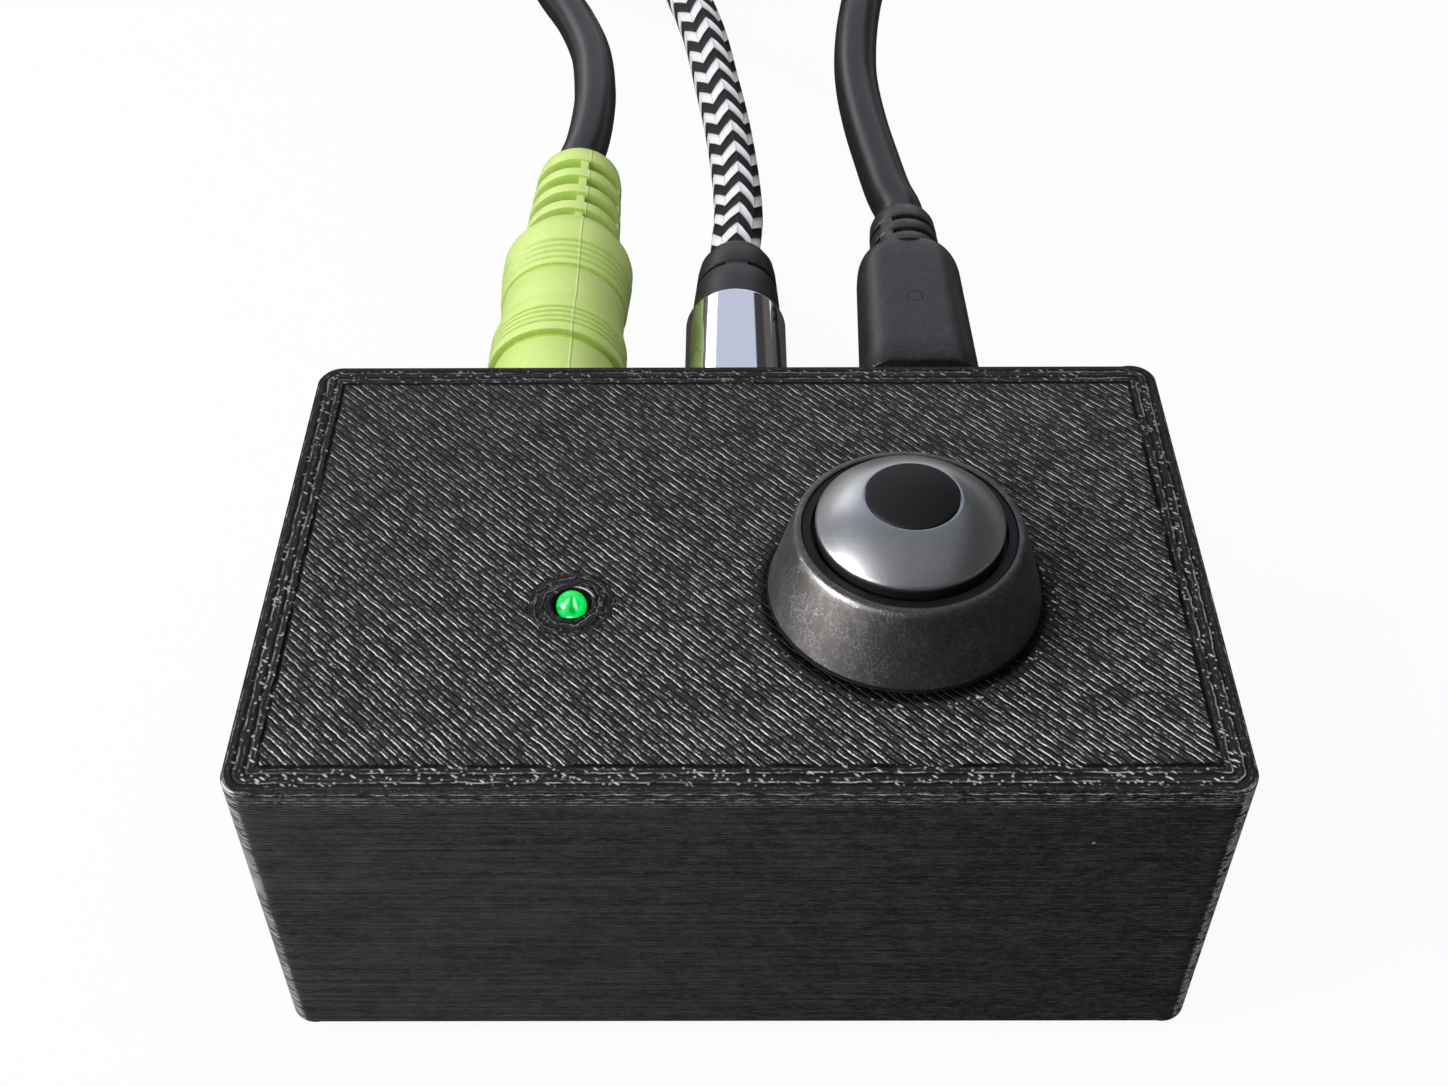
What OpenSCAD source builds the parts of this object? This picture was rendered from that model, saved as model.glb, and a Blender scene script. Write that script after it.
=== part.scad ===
// Audio source selector: a small printed case with a knob that turns and presses, a
// status light, and three leads plugged into its back. Sizes are in millimetres.
// Z = 0 is the table top, the front of the case faces -Y and its sockets face +Y.

/* [Case] */
// Width of the case from side to side
case_w = 75; // [70:0.5:100]
// Depth of the case from front to back
case_d = 48; // [46:0.5:70]
// Height of the printed shell without its feet
case_h = 31.5; // [29:0.5:45]
// Thickness of the side walls
wall = 2; // [1.6:0.1:2.6]
// Thickness of the top panel
top_t = 2; // [1.6:0.1:2.6]
// Radius of the upright corners
corner_r = 2.1; // [2:0.1:4]
// Rounding of the edges around the top and the bottom
edge_r = 0.3; // [0.2:0.1:0.9]

/* [Base] */
// Thickness of the base plate
plate_t = 2.6; // [2.4:0.1:4]
// Side of the square posts in the corners
post_w = 6.5; // [6:0.1:8]
// Height of the stick-on feet
foot_h = 1; // [0.6:0.1:3]
// Diameter of the feet
foot_d = 8; // [6:0.5:10]
// Diameter of the base screws
screw_d = 2.5; // [2:0.1:3]
// Length of the threaded inserts
insert_l = 5; // [4:0.5:8]

/* [Board] */
// Thickness of the circuit board
board_t = 1.6; // [1:0.1:2]
// Distance from the top of the case to the axis of the audio sockets
socket_drop = 7.2; // [7:0.1:8]
// Height of the audio socket axis above the board
jack_rise = 2.3; // [2:0.1:2.8]
// Diameter of the board's standoffs
standoff_d = 6; // [5:0.1:7]
// Diameter of the board screws
board_screw_d = 2; // [1.6:0.1:2.5]

/* [Sockets] */
// Sideways place of the speaker socket
speaker_x = -17.2; // [-19:0.1:-16]
// Sideways place of the player socket
player_x = 0; // [-1:0.1:1]
// Sideways place of the USB socket
usb_x = 17.5; // [16.5:0.1:19]
// Diameter of the audio plug pins
pin_d = 3.5; // [2.5:0.1:3.5]
// Length of the audio plug pins
pin_l = 14; // [11:0.5:15]
// Width of the metal USB socket
usb_w = 7.7; // [7:0.1:8.4]
// Height of the metal USB socket
usb_h = 3.9; // [3.6:0.1:4.2]

/* [Knob] */
// Sideways place of the knob
knob_x = 13.1; // [11:0.1:14]
// Place of the knob from front to back
knob_y = -4.3; // [-6:0.1:-3]
// Diameter of the knob at the foot of its skirt
knob_d = 21.3; // [20:0.1:24]
// Diameter of the rim at the top of the skirt
rim_d = 17.9; // [17.5:0.1:19]
// Height of the rim above the case
rim_h = 7.2; // [6.8:0.1:9]
// Diameter of the domed cap
dome_d = 14.5; // [13.5:0.1:15]
// Radius of curvature of the dome
dome_r = 9.6; // [9:0.1:14]
// Diameter of the disc let into the dome
inlay_d = 7.1; // [5:0.1:8]
// Gap under the knob
knob_gap = 0.6; // [0.6:0.1:1.5]
// Travel when the knob is pressed
press = 0.4; // [0.2:0.1:0.4]
// Diameter of the encoder shaft
shaft_d = 6; // [5.5:0.1:6.2]
// Diameter of the encoder's threaded bushing
bushing_d = 7; // [7:0.1:8]

/* [Light] */
// Sideways place of the status light
led_x = -13.1; // [-16:0.1:-11]
// Place of the status light from front to back
led_y = -5.4; // [-8:0.1:-2]
// Diameter of the light's lens
led_d = 2.9; // [2.5:0.1:3.1]
// Height of the lens above the case
led_rise = 0.6; // [0:0.1:1.5]

/* [Leads] */
// Diameter of the speaker lead
lime_cord_d = 4.8; // [4.5:0.1:5.2]
// Diameter of the braided lead
braid_cord_d = 5.2; // [4.5:0.1:5.2]
// Diameter of the USB lead
usb_cord_d = 5; // [4.5:0.1:5.2]
// Middle radius of the put-away coils
coil_r = 27.5; // [26:0.5:30]
// Distance of the coils behind the case
coil_reach = 169; // [160:1:190]

/* [Hidden] */
$fn = 64;
CUT = 1;
FIT = 0.05;
RUN = 0.03;
SLIDE = 0.1;
UP = [0, 0, 1];

// Main levels of the case
shell_z = foot_h;
top_z = shell_z + case_h;
roof_z = top_z - top_t;
in_w = case_w - 2 * wall;
in_d = case_d - 2 * wall;
rear_y = case_d / 2;
plate_top = shell_z + plate_t;

// Base fittings
plate_gap = 0.2;
post_x = in_w / 2 - post_w / 2;
post_y = in_d / 2 - post_w / 2;
head_d = 1.8 * screw_d;
head_h = 1.5;
insert_d = screw_d + 1.1;
slot_t = 0.7;
foot_x = post_x - 10;
foot_y = post_y - 1;

// Circuit board and what stands on it
socket_z = top_z - socket_drop;
board_top = socket_z - jack_rise;
board_low = board_top - board_t;
board_w = in_w - 5;
board_mid_w = in_w - 2 * post_w - 1;
board_mid_d = in_d - 2 * post_w - 1;
board_d = in_d - 0.8;
standoff_x = in_w / 2 - 6.5;
standoff_y = 10;
board_screw_l = 6;
jack_w = 7;
jack_h = 2 * jack_rise;
jack_l = pin_l - 1.6;
nose_d = 6;
usb_l = 9.2;
usb_z = board_top + usb_h / 2;
usb_skin = 0.3;
usb_slot_w = usb_w + 2;
usb_slot_h = usb_h + 2;
jack_front = in_d / 2 - 0.1;
tab_front = 2.5;
tab_rear = 9;
relay_w = 14.5;
relay_d = 7.2;
relay_h = 9.8;
relay_left = -12;
relay_right = 5;
relay_y = 5;
chip_w = 10;
chip_d = 7;
chip_h = 2.5;
chip_x = -12;
chip_y = -14;
leg_pitch = 1.27;
resistor_y = 5;
resistor_left = -9;
resistor_pitch = 4;
cap_d = 5;
cap_h = 5.2;
cap_left = -22;
cap_right = -4;
cap_front = -12;
cap_rear = -1;

// Rotary encoder, from the board to the roof
enc_w = 12;
enc_d = 13.2;
enc_h = roof_z - board_top;
frame_t = 0.4;
flange_h = 2.1;
enc_base_h = enc_h - flange_h - frame_t;
rotor_floor = enc_base_h - 2.2;
rotor_r = 5;
dome_floor = 0.5;
dome_h = rotor_floor - 1.85;
key_d = 3.6;
washer_t = 0.5;
nut_t = 2;
nut_af = bushing_d + 3;
bushing_top = top_z + washer_t + nut_t + 0.4;

// Knob, from the panel upwards
skirt_t = 0.7;
core_low = top_z + knob_gap;
rim_z = top_z + rim_h;
ring_z = rim_z - 0.15;
nut_room = bushing_top + press + 0.4;
web_z = nut_room + 1.8;
groove_w = 0.3;
edge_z = rim_z + 0.8;
dome_z = edge_z - sqrt(pow(dome_r, 2) - pow(dome_d / 2, 2));
cap_t = 1;
stand_r = dome_d / 2 - FIT;
stand_z = edge_z - 0.3;
cup_r = stand_r - 0.8;
groove_z = ring_z - 0.8;
hub_top = edge_z + 0.4;
hub_r = shaft_d / 2 + 1.2;
shaft_top = hub_top - 0.5;
flat_x = shaft_d / 4;
inlay_z = dome_z + sqrt(pow(dome_r, 2) - pow(inlay_d / 2, 2)) - 0.35;

// Status light
led_flange_z = roof_z - 0.3;
led_flange_h = 1;
led_pitch = 1.27;
led_wire = 0.5;

// Plugs: all are drawn along +Z with the socket end at zero
plug_stand = 0.5;
lime_r = 6.7;
lime_l = 40.6;
chrome_r = 4.9;
chrome_l = 14.3;
boot_l = 10.4;
usb_neck_l = 7.2;
usb_body_l = 20;
usb_relief_l = 6.9;
usb_plug_l = usb_neck_l + usb_body_l + usb_relief_l;
big_usb_l = 33;

// Put-away coils, stacked and strapped behind the case
coil_y = rear_y + coil_reach;
strap_t = 1;
strap_w = 12;
coil_gap = 0.5;
cord_max = max(lime_cord_d, braid_cord_d, usb_cord_d);
pitch = cord_max + coil_gap;
low_z = strap_t + 0.2 + cord_max / 2;
function layer_z(k) = low_z + k * pitch;
braid_turns = 5;
usb_turns = 5;
lime_turns = 4.75;
coil_in = coil_r - pitch * braid_turns / 4;
coil_out = coil_r + pitch * braid_turns / 4;
pile_top = layer_z(5) + cord_max / 2;

// Shared shapes

module four(x, y) {
    for (sx = [-1, 1], sy = [-1, 1])
        translate([sx * x, sy * y, 0])
            children();
}

module rounded_slab(w, d, h, r) {
    linear_extrude(h) {
        square([w - 2 * r, d], center = true);
        square([w, d - 2 * r], center = true);
        four(w / 2 - r, d / 2 - r)
            circle(r);
    }
}

// Block with round upright corners and rolled edges around its top and bottom
module soft_block(w, d, h, r, e) {
    translate([0, 0, e])
        rounded_slab(w, d, h - 2 * e, r);
    rounded_slab(w - 2 * e, d - 2 * e, h, r - e);
    for (z = [e, h - e])
        translate([0, 0, z]) {
            for (s = [-1, 1]) {
                translate([0, s * (d / 2 - e), 0])
                    rotate([0, 90, 0])
                        cylinder(r = e, h = w - 2 * r, center = true);
                translate([s * (w / 2 - e), 0, 0])
                    rotate([90, 0, 0])
                        cylinder(r = e, h = d - 2 * r, center = true);
            }
            four(w / 2 - r, d / 2 - r)
                rotate_extrude()
                    translate([r - e, 0])
                        circle(e);
        }
}

module box(w, d, h) {
    translate([-w / 2, -d / 2, 0])
        cube([w, d, h]);
}

module ring(d_out, d_in, h) {
    difference() {
        cylinder(d = d_out, h = h);
        translate([0, 0, -CUT])
            cylinder(d = d_in, h = h + 2 * CUT);
    }
}

// Round bar with one flat side
module flat_bar(d, flat, h) {
    difference() {
        cylinder(d = d, h = h);
        translate([flat, -d, -CUT])
            cube([d, 2 * d, h + 2 * CUT]);
    }
}

// Places a piece drawn along +Z so that it points out of the rear wall
module behind(x, y, z) {
    translate([x, y, z])
        rotate([-90, 0, 0])
            children();
}

// Places a plug drawn along +Z on the free end of a lead that runs towards a heading
module lead_end(place, heading, long) {
    translate(place + long * [cos(heading), sin(heading), 0])
        rotate([0, 0, heading - 90])
            rotate([90, 0, 0])
                children();
}

// Cords: a smooth route, and a tube swept along it

function unit(v) = v / norm(v);
function blend_point(a, b, c, d, t) =
    0.5 * (2 * b + (c - a) * t + (2 * a - 5 * b + 4 * c - d) * t * t
        + (3 * b - a - 3 * c + d) * t * t * t);
function padded(p) = concat([2 * p[0] - p[1]], p, [2 * p[len(p) - 1] - p[len(p) - 2]]);
function smooth(p, steps) = let (q = padded(p))
    [for (i = [0 : len(p) - 2], j = [0 : steps - 1])
        blend_point(q[i], q[i + 1], q[i + 2], q[i + 3], j / steps), p[len(p) - 1]];
function heading_at(p, i) = unit(p[min(i + 1, len(p) - 1)] - p[max(i - 1, 0)]);
function hoop(p, t, r, sides) = let (s = unit(cross(t, UP)), n = cross(s, t))
    [for (k = [0 : sides - 1]) p + r * (cos(360 * k / sides) * s + sin(360 * k / sides) * n)];

module tube(path, d, sides) {
    last = (len(path) - 1) * sides;
    points = [for (i = [0 : len(path) - 1]) each hoop(path[i], heading_at(path, i), d / 2, sides)];
    walls = [for (i = [0 : len(path) - 2], k = [0 : sides - 1]) let (m = (k + 1) % sides)
        each [[i * sides + k, i * sides + sides + m, i * sides + m],
            [i * sides + k, i * sides + sides + k, i * sides + sides + m]]];
    ends = [[for (k = [0 : sides - 1]) k], [for (k = [sides - 1 : -1 : 0]) last + k]];
    polyhedron(points, concat(ends, walls), convexity = 12);
}

// A lead's route: offsets from its plug, with the share of the fall to the coil's level
function lead_path(from, to, route, d) = smooth(concat(
    [from, from + [0, 0.5 * d, 0]],
    [for (p = route) [from.x + p[0], from.y + p[1], from.z + p[2] * (to.z - from.z)]],
    [to - [0, 2 * d, 0], to]), 2);

// A coil spirals in on its lower layer, climbs at the reversal and spirals out above it
function coil_path(turns, k, start, turn_dir) =
    [for (i = [0 : 24 * turns]) let (
        t = i / 24,
        r = coil_r - pitch * turns / 4 + pitch * abs(t - turns / 2),
        climb = min(1, max(0, 2 * (t - turns / 2) + 0.5)),
        a = start + turn_dir * 360 * t)
        [r * cos(a), coil_y + r * sin(a), layer_z(k) + pitch * climb]];
function coil_with_ends(turns, k, start, turn_dir, d, tail) =
    let (c = coil_path(turns, k, start, turn_dir), e = c[len(c) - 1])
    concat([c[0] - [0, d, 0]], c, smooth([for (p = tail) e + p], 2));
function least_gap(p, d) = min([for (i = [0 : len(p) - 1], j = [i + 13 : len(p) - 1])
    norm(p[i] - p[j])]) - d;

// Tails that lead each coil to its free plug, as offsets from the end of the coil
lime_tail = [[-cord_max, 0, 0], [-12, 2, 1.6], [-18, 7, 4.6], [-21.5, 15, 7.6],
    [-22.5, 21, 9.2], [-22.5, 25, 9.4]];
braid_tail = [[0, cord_max, 0], [-1.5, 11, -0.6], [-2, 17, -2.6], [-2, 22, -4.2],
    [-2, 26, -4.4]];
usb_tail = [[0, cord_max, 0], [1.5, 10, -0.7], [3, 16, -3.5], [3.5, 25, -10],
    [1.5, 35, -15.2], [-3.5, 42, -16.6], [-8, 45.5, -16.7], [-12, 46.5, -16.7]];

lime_from = [speaker_x, rear_y + plug_stand + lime_l, socket_z];
braid_from = [player_x, rear_y + plug_stand + chrome_l + boot_l, socket_z];
usb_from = [usb_x, in_d / 2 + 0.2 + usb_plug_l, usb_z];
lime_out = coil_r + pitch * lime_turns / 4;
lime_to = [-lime_out, coil_y - cord_max, layer_z(4)];
braid_to = [-coil_out, coil_y - cord_max, layer_z(0)];
usb_to = [coil_out, coil_y - cord_max, layer_z(2)];

lime_route = [[0.7, 6.5, 0], [1.1, 12.5, 0], [1, 18, 0], [0.1, 26, 0], [-2.2, 34, 0],
    [-5.6, 42, 0.1], [-10.2, 55, 0.4], [-14, 72, 0.8], [-16.4, 92, 1]];
braid_route = [[0.3, 8, 0], [0, 15.6, -0.005], [-0.75, 25, -0.025], [-1.95, 34, -0.05],
    [-3.3, 43, -0.08], [-5.4, 52, -0.09], [-8, 61, -0.04], [-11.5, 72, 0.14], [-16.5, 85, 0.48],
    [-23.5, 100, 0.8], [-30, 114, 0.96]];
usb_route = [[-0.85, 6, 0], [-1.7, 12, 0], [-2.7, 20, -0.01], [-3.25, 28, -0.03], [-3.05, 35, -0.06],
    [-2.3, 42.4, -0.09], [-1, 50, -0.09], [1.2, 58, -0.02], [5.4, 71, 0.3], [10, 84, 0.65],
    [14.4, 100, 0.92]];

lime_lead_path = lead_path(lime_from, lime_to, lime_route, lime_cord_d);
braid_lead_path = lead_path(braid_from, braid_to, braid_route, braid_cord_d);
usb_lead_path = lead_path(usb_from, usb_to, usb_route, usb_cord_d);
lime_coil_path = coil_with_ends(lime_turns, 4, 180, -1, cord_max, lime_tail);
braid_coil_path = coil_with_ends(braid_turns, 0, 180, -1, cord_max, braid_tail);
usb_coil_path = coil_with_ends(usb_turns, 2, 0, 1, cord_max, usb_tail);
function end_of(p) = p[len(p) - 1];
function path_long(p) = [for (i = 1, s = 0; i <= len(p);
    s = s + (i < len(p) ? norm(p[i] - p[i - 1]) : 0), i = i + 1) s][len(p) - 1];
echo(least_gaps = [least_gap(lime_coil_path, lime_cord_d),
    least_gap(braid_coil_path, braid_cord_d), least_gap(usb_coil_path, usb_cord_d)]);
echo(lead_lengths = [path_long(lime_lead_path) + path_long(lime_coil_path),
    path_long(braid_lead_path) + path_long(braid_coil_path),
    path_long(usb_lead_path) + path_long(usb_coil_path)]);

// Case

module case_shell() {
    color([0.05, 0.05, 0.055])
        difference() {
            union() {
                difference() {
                    translate([0, 0, shell_z])
                        soft_block(case_w, case_d, case_h, corner_r, edge_r);
                    translate([0, 0, shell_z - CUT])
                        box(in_w, in_d, case_h - top_t + CUT);
                }
                translate([0, 0, plate_top])
                    four(post_x + wall / 4, post_y + wall / 4)
                        box(post_w + wall / 2, post_w + wall / 2, roof_z - plate_top + top_t / 2);
                translate([0, 0, board_top])
                    four(standoff_x, standoff_y)
                        cylinder(d = standoff_d, h = roof_z - board_top + top_t / 2);
            }
            translate([0, 0, plate_top - CUT])
                four(post_x, post_y)
                    cylinder(d = insert_d + 2 * FIT, h = insert_l + 2 + CUT);
            translate([0, 0, board_top - CUT])
                four(standoff_x, standoff_y)
                    cylinder(d = board_screw_d + 2 * FIT, h = board_screw_l + CUT);
            translate([knob_x, knob_y, roof_z - CUT])
                cylinder(d = bushing_d + 2 * SLIDE, h = top_t + 2 * CUT);
            translate([led_x, led_y, roof_z - CUT])
                cylinder(d = led_d + 2 * SLIDE, h = top_t + 2 * CUT);
            for (x = [speaker_x, player_x])
                behind(x, rear_y - wall - CUT, socket_z)
                    cylinder(d = nose_d + 4 * SLIDE, h = wall + 2 * CUT);
            translate([usb_x, rear_y - wall / 2, usb_z - usb_slot_h / 2])
                box(usb_slot_w, wall + 2 * CUT, usb_slot_h);
        }
}

module base_plate() {
    color([0.06, 0.06, 0.065])
        translate([0, 0, shell_z])
            difference() {
                rounded_slab(in_w - 2 * plate_gap, in_d - 2 * plate_gap, plate_t, 1);
                four(post_x, post_y) {
                    translate([0, 0, -CUT])
                        cylinder(d = screw_d + 4 * SLIDE, h = plate_t + 2 * CUT);
                    translate([0, 0, -CUT])
                        cylinder(d = head_d + 4 * SLIDE, h = head_h + 0.1 + CUT);
                }
            }
}

module base_screws() {
    color([0.55, 0.55, 0.57])
        translate([0, 0, shell_z + 0.1])
            four(post_x, post_y)
                difference() {
                    union() {
                        cylinder(d = head_d, h = head_h);
                        cylinder(d = screw_d, h = plate_t + insert_l - 0.6);
                    }
                    for (a = [0, 90])
                        rotate([0, 0, a])
                            translate([0, 0, -CUT])
                                box(head_d * 0.6, slot_t, CUT + 0.8);
                }
}

module thread_inserts() {
    color([0.78, 0.6, 0.25])
        translate([0, 0, plate_top])
            four(post_x, post_y)
                ring(insert_d, screw_d + 2 * FIT, insert_l);
}

module rubber_feet() {
    color([0.08, 0.08, 0.08])
        four(foot_x, foot_y)
            cylinder(d = foot_d, h = foot_h);
}

// Circuit board

module main_board() {
    color([0.06, 0.25, 0.12])
        translate([0, 0, board_low])
            difference() {
                union() {
                    box(board_w, board_mid_d, board_t);
                    box(board_mid_w, board_d, board_t);
                }
                four(standoff_x, standoff_y)
                    translate([0, 0, -CUT])
                        cylinder(d = board_screw_d + 4 * SLIDE, h = board_t + 2 * CUT);
                encoder_pin_places()
                    translate([0, 0, -CUT])
                        cylinder(d = 1.1, h = board_t + 2 * CUT);
                for (s = [-1, 1])
                    translate([led_x + s * led_pitch, led_y, -CUT])
                        cylinder(d = 1, h = board_t + 2 * CUT);
            }
}

module board_screws() {
    color([0.6, 0.6, 0.62])
        four(standoff_x, standoff_y)
            translate([0, 0, board_low]) {
                translate([0, 0, -1.4])
                    cylinder(d = 2 * board_screw_d, h = 1.4);
                translate([0, 0, -CUT])
                    cylinder(d = board_screw_d, h = board_t + board_screw_l - 0.5 + CUT);
            }
}

module audio_jack(x) {
    color([0.07, 0.07, 0.075])
        difference() {
            union() {
                translate([x, jack_front - jack_l / 2, board_top])
                    box(jack_w, jack_l, jack_h);
                behind(x, jack_front - 0.2, socket_z)
                    cylinder(d = nose_d, h = rear_y - jack_front + 0.1);
            }
            behind(x, jack_front - jack_l - CUT, socket_z)
                cylinder(d = pin_d + 2 * FIT, h = jack_l + wall + 3 * CUT);
        }
}

module speaker_jack() {
    audio_jack(speaker_x);
}

module player_jack() {
    audio_jack(player_x);
}

// Solder tabs beside both audio sockets
module jack_tabs() {
    color([0.75, 0.72, 0.65])
        for (x = [speaker_x, player_x], s = [-1, 1], y = [tab_front, tab_rear])
            translate([x + s * (jack_w / 2 + 0.6), jack_front - y, board_top])
                box(1.2, 1.6, 0.3);
}

module usb_socket() {
    color([0.72, 0.72, 0.74])
        translate([usb_x, in_d / 2 - usb_l / 2, board_top])
            difference() {
                box(usb_w, usb_l, usb_h);
                translate([0, usb_skin, usb_skin])
                    box(usb_w - 2 * usb_skin, usb_l, usb_h - 2 * usb_skin);
            }
}

module usb_tongue() {
    color([0.1, 0.1, 0.1])
        translate([usb_x, in_d / 2 - usb_l + usb_skin + 3.4, usb_z - 0.4])
            box(4.2, 6.8, 0.8);
}

// Rotary encoder with push switch

module at_encoder() {
    translate([knob_x, knob_y, board_top])
        children();
}

module encoder_pin_places() {
    for (p = [[-2.5, -5], [0, -5], [2.5, -5], [-2.5, 5], [2.5, 5]])
        translate([knob_x + p[0], knob_y + p[1], 0])
            children();
}

module encoder_base() {
    color([0.16, 0.12, 0.1])
        at_encoder()
            difference() {
                box(enc_w, enc_d, enc_base_h);
                translate([0, 0, rotor_floor])
                    cylinder(r = rotor_r + 0.4, h = enc_base_h);
                translate([0, 0, dome_floor])
                    cylinder(d = key_d + 1.6, h = enc_base_h);
            }
}

module encoder_bushing() {
    color([0.7, 0.7, 0.72])
        at_encoder()
            difference() {
                union() {
                    translate([0, 0, enc_base_h])
                        box(enc_w - 0.4, enc_d - 0.4, flange_h);
                    translate([0, 0, enc_base_h])
                        cylinder(d = bushing_d, h = bushing_top - board_top - enc_base_h);
                }
                cylinder(d = shaft_d + 2 * RUN, h = 3 * enc_h);
            }
}

module encoder_frame() {
    color([0.62, 0.62, 0.64])
        at_encoder()
            difference() {
                box(enc_w, enc_d + 2 * frame_t + 2 * FIT, enc_h);
                translate([0, 0, -CUT])
                    box(enc_w + 2 * CUT, enc_d + 2 * FIT, enc_h - frame_t + CUT);
                cylinder(d = bushing_d + 2 * SLIDE, h = 2 * enc_h);
            }
}

module encoder_pins() {
    color([0.75, 0.72, 0.65])
        encoder_pin_places()
            translate([0, 0, board_low - 1.2])
                cylinder(d = 0.9, h = board_t + 1.2);
}

module encoder_rotor() {
    color([0.85, 0.82, 0.72])
        at_encoder()
            translate([0, 0, rotor_floor + 0.3])
                difference() {
                    cylinder(r = rotor_r, h = 1.4);
                    translate([0, 0, -CUT])
                        flat_bar(key_d + 2 * SLIDE, key_d / 3 + SLIDE, 1.4 + 2 * CUT);
                }
}

module detent_spring() {
    color([0.8, 0.8, 0.78])
        at_encoder()
            translate([0, 0, enc_base_h - 0.2])
                ring(2 * rotor_r + 0.4, bushing_d + 0.4, 0.2);
}

module switch_dome() {
    cap_r = (pow(key_d / 2 + 0.4, 2) + pow(dome_h, 2)) / (2 * dome_h);
    color([0.8, 0.8, 0.78])
        at_encoder()
            translate([0, 0, dome_floor])
                intersection() {
                    translate([0, 0, dome_h - cap_r])
                        difference() {
                            sphere(cap_r);
                            sphere(cap_r - 0.2);
                        }
                    cylinder(d = 2 * key_d, h = 2 * dome_h);
                }
}

module lock_washer() {
    color([0.66, 0.66, 0.68])
        translate([knob_x, knob_y, top_z])
            ring(nut_af + 2, bushing_d + 2 * SLIDE, washer_t);
}

module panel_nut() {
    color([0.7, 0.7, 0.72])
        translate([knob_x, knob_y, top_z + washer_t])
            difference() {
                cylinder(d = nut_af / cos(30), h = nut_t, $fn = 6);
                translate([0, 0, -CUT])
                    cylinder(d = bushing_d + 2 * FIT, h = nut_t + 2 * CUT);
            }
}

module encoder_shaft() {
    key_low = board_top + dome_floor + dome_h + press + FIT;
    key_top = board_top + enc_base_h + 0.2;
    color([0.6, 0.6, 0.62])
        translate([knob_x, knob_y, 0]) {
            translate([0, 0, key_low])
                flat_bar(key_d, key_d / 3, key_top - key_low + 0.5);
            difference() {
                translate([0, 0, key_top])
                    cylinder(d = shaft_d, h = shaft_top - key_top);
                translate([flat_x, -shaft_d, nut_room - 0.2])
                    cube([shaft_d, 2 * shaft_d, shaft_d + rim_h]);
            }
        }
}

// Knob

module at_knob() {
    translate([knob_x, knob_y, 0])
        children();
}

module knob_core() {
    seat_r = dome_d / 2 + groove_w;
    room_r = nut_af / 2 + 1.9;
    foot_r = knob_d / 2 - skirt_t - FIT;
    ring_r = rim_d / 2 - skirt_t - FIT;
    color([0.03, 0.03, 0.03])
        at_knob()
            difference() {
                rotate_extrude()
                    polygon([[room_r, core_low], [foot_r, core_low], [ring_r, ring_z],
                        [seat_r, ring_z], [seat_r, groove_z], [stand_r, groove_z], [stand_r, stand_z],
                        [cup_r, stand_z], [cup_r, web_z], [hub_r, web_z], [hub_r, hub_top],
                        [0, hub_top], [0, nut_room], [room_r, nut_room]]);
                translate([0, 0, nut_room - CUT])
                    flat_bar(shaft_d + 2 * FIT, flat_x + FIT, shaft_top + 0.1 - nut_room + CUT);
            }
}

module knob_skirt() {
    lip = 0.2;
    rim = rim_d / 2;
    color([0.45, 0.45, 0.46])
        at_knob()
            rotate_extrude()
                polygon([[knob_d / 2 - skirt_t, core_low], [knob_d / 2 - lip, core_low],
                    [knob_d / 2, core_low + lip], [rim + 0.18, rim_z - 0.75],
                    [rim + 0.04, rim_z - 0.36], [rim - 0.14, rim_z - 0.1],
                    [rim - 0.36, rim_z], [rim - skirt_t, rim_z]]);
}

module knob_dome() {
    inner_r = sqrt(pow(dome_r - cap_t, 2) - pow(edge_z - dome_z, 2));
    color([0.7, 0.7, 0.71])
        at_knob()
            difference() {
                union() {
                    translate([0, 0, stand_z])
                        cylinder(d = dome_d, h = edge_z - stand_z);
                    translate([0, 0, stand_z - 1.2])
                        cylinder(r = cup_r - FIT, h = 1.3);
                    intersection() {
                        translate([0, 0, dome_z])
                            sphere(dome_r);
                        translate([0, 0, stand_z])
                            cylinder(d = dome_d, h = dome_r);
                    }
                }
                translate([0, 0, web_z - CUT])
                    cylinder(r = inner_r, h = edge_z - web_z + CUT);
                intersection() {
                    translate([0, 0, dome_z])
                        sphere(dome_r - cap_t);
                    translate([0, 0, edge_z - FIT])
                        cylinder(d = dome_d, h = dome_r);
                }
                translate([0, 0, inlay_z])
                    cylinder(d = inlay_d + 2 * FIT, h = dome_r);
            }
}

module dome_inlay() {
    color([0.02, 0.02, 0.02])
        at_knob()
            intersection($fn = 200) {
                translate([0, 0, dome_z])
                    sphere(dome_r);
                translate([0, 0, inlay_z])
                    cylinder(d = inlay_d, h = dome_r);
            }
}

// Status light

module led_lens() {
    dome_low = top_z + led_rise - led_d / 2;
    color([0.2, 0.9, 0.3])
        translate([led_x, led_y, 0]) {
            translate([0, 0, led_flange_z - led_flange_h])
                cylinder(d = led_d + 0.9, h = led_flange_h);
            translate([0, 0, led_flange_z - led_flange_h])
                cylinder(d = led_d, h = dome_low - led_flange_z + led_flange_h);
            translate([0, 0, dome_low])
                sphere(d = led_d);
        }
}

module led_wires() {
    low = board_low - 1;
    color([0.75, 0.72, 0.65])
        for (s = [-1, 1])
            translate([led_x + s * led_pitch, led_y, low])
                box(led_wire, led_wire, led_flange_z - led_flange_h - low);
}

module led_spacer() {
    color([0.08, 0.08, 0.08])
        translate([led_x, led_y, board_top])
            difference() {
                cylinder(d = led_d + 1.6, h = led_flange_z - led_flange_h - board_top);
                for (s = [-1, 1])
                    translate([s * led_pitch, 0, -CUT])
                        cylinder(d = 2 * led_wire, h = enc_h + 2 * CUT);
            }
}

// Parts under and on the board

module relays() {
    color([0.85, 0.85, 0.82])
        for (x = [relay_left, relay_right])
            translate([x, relay_y, board_low - relay_h])
                box(relay_w, relay_d, relay_h);
}

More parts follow.
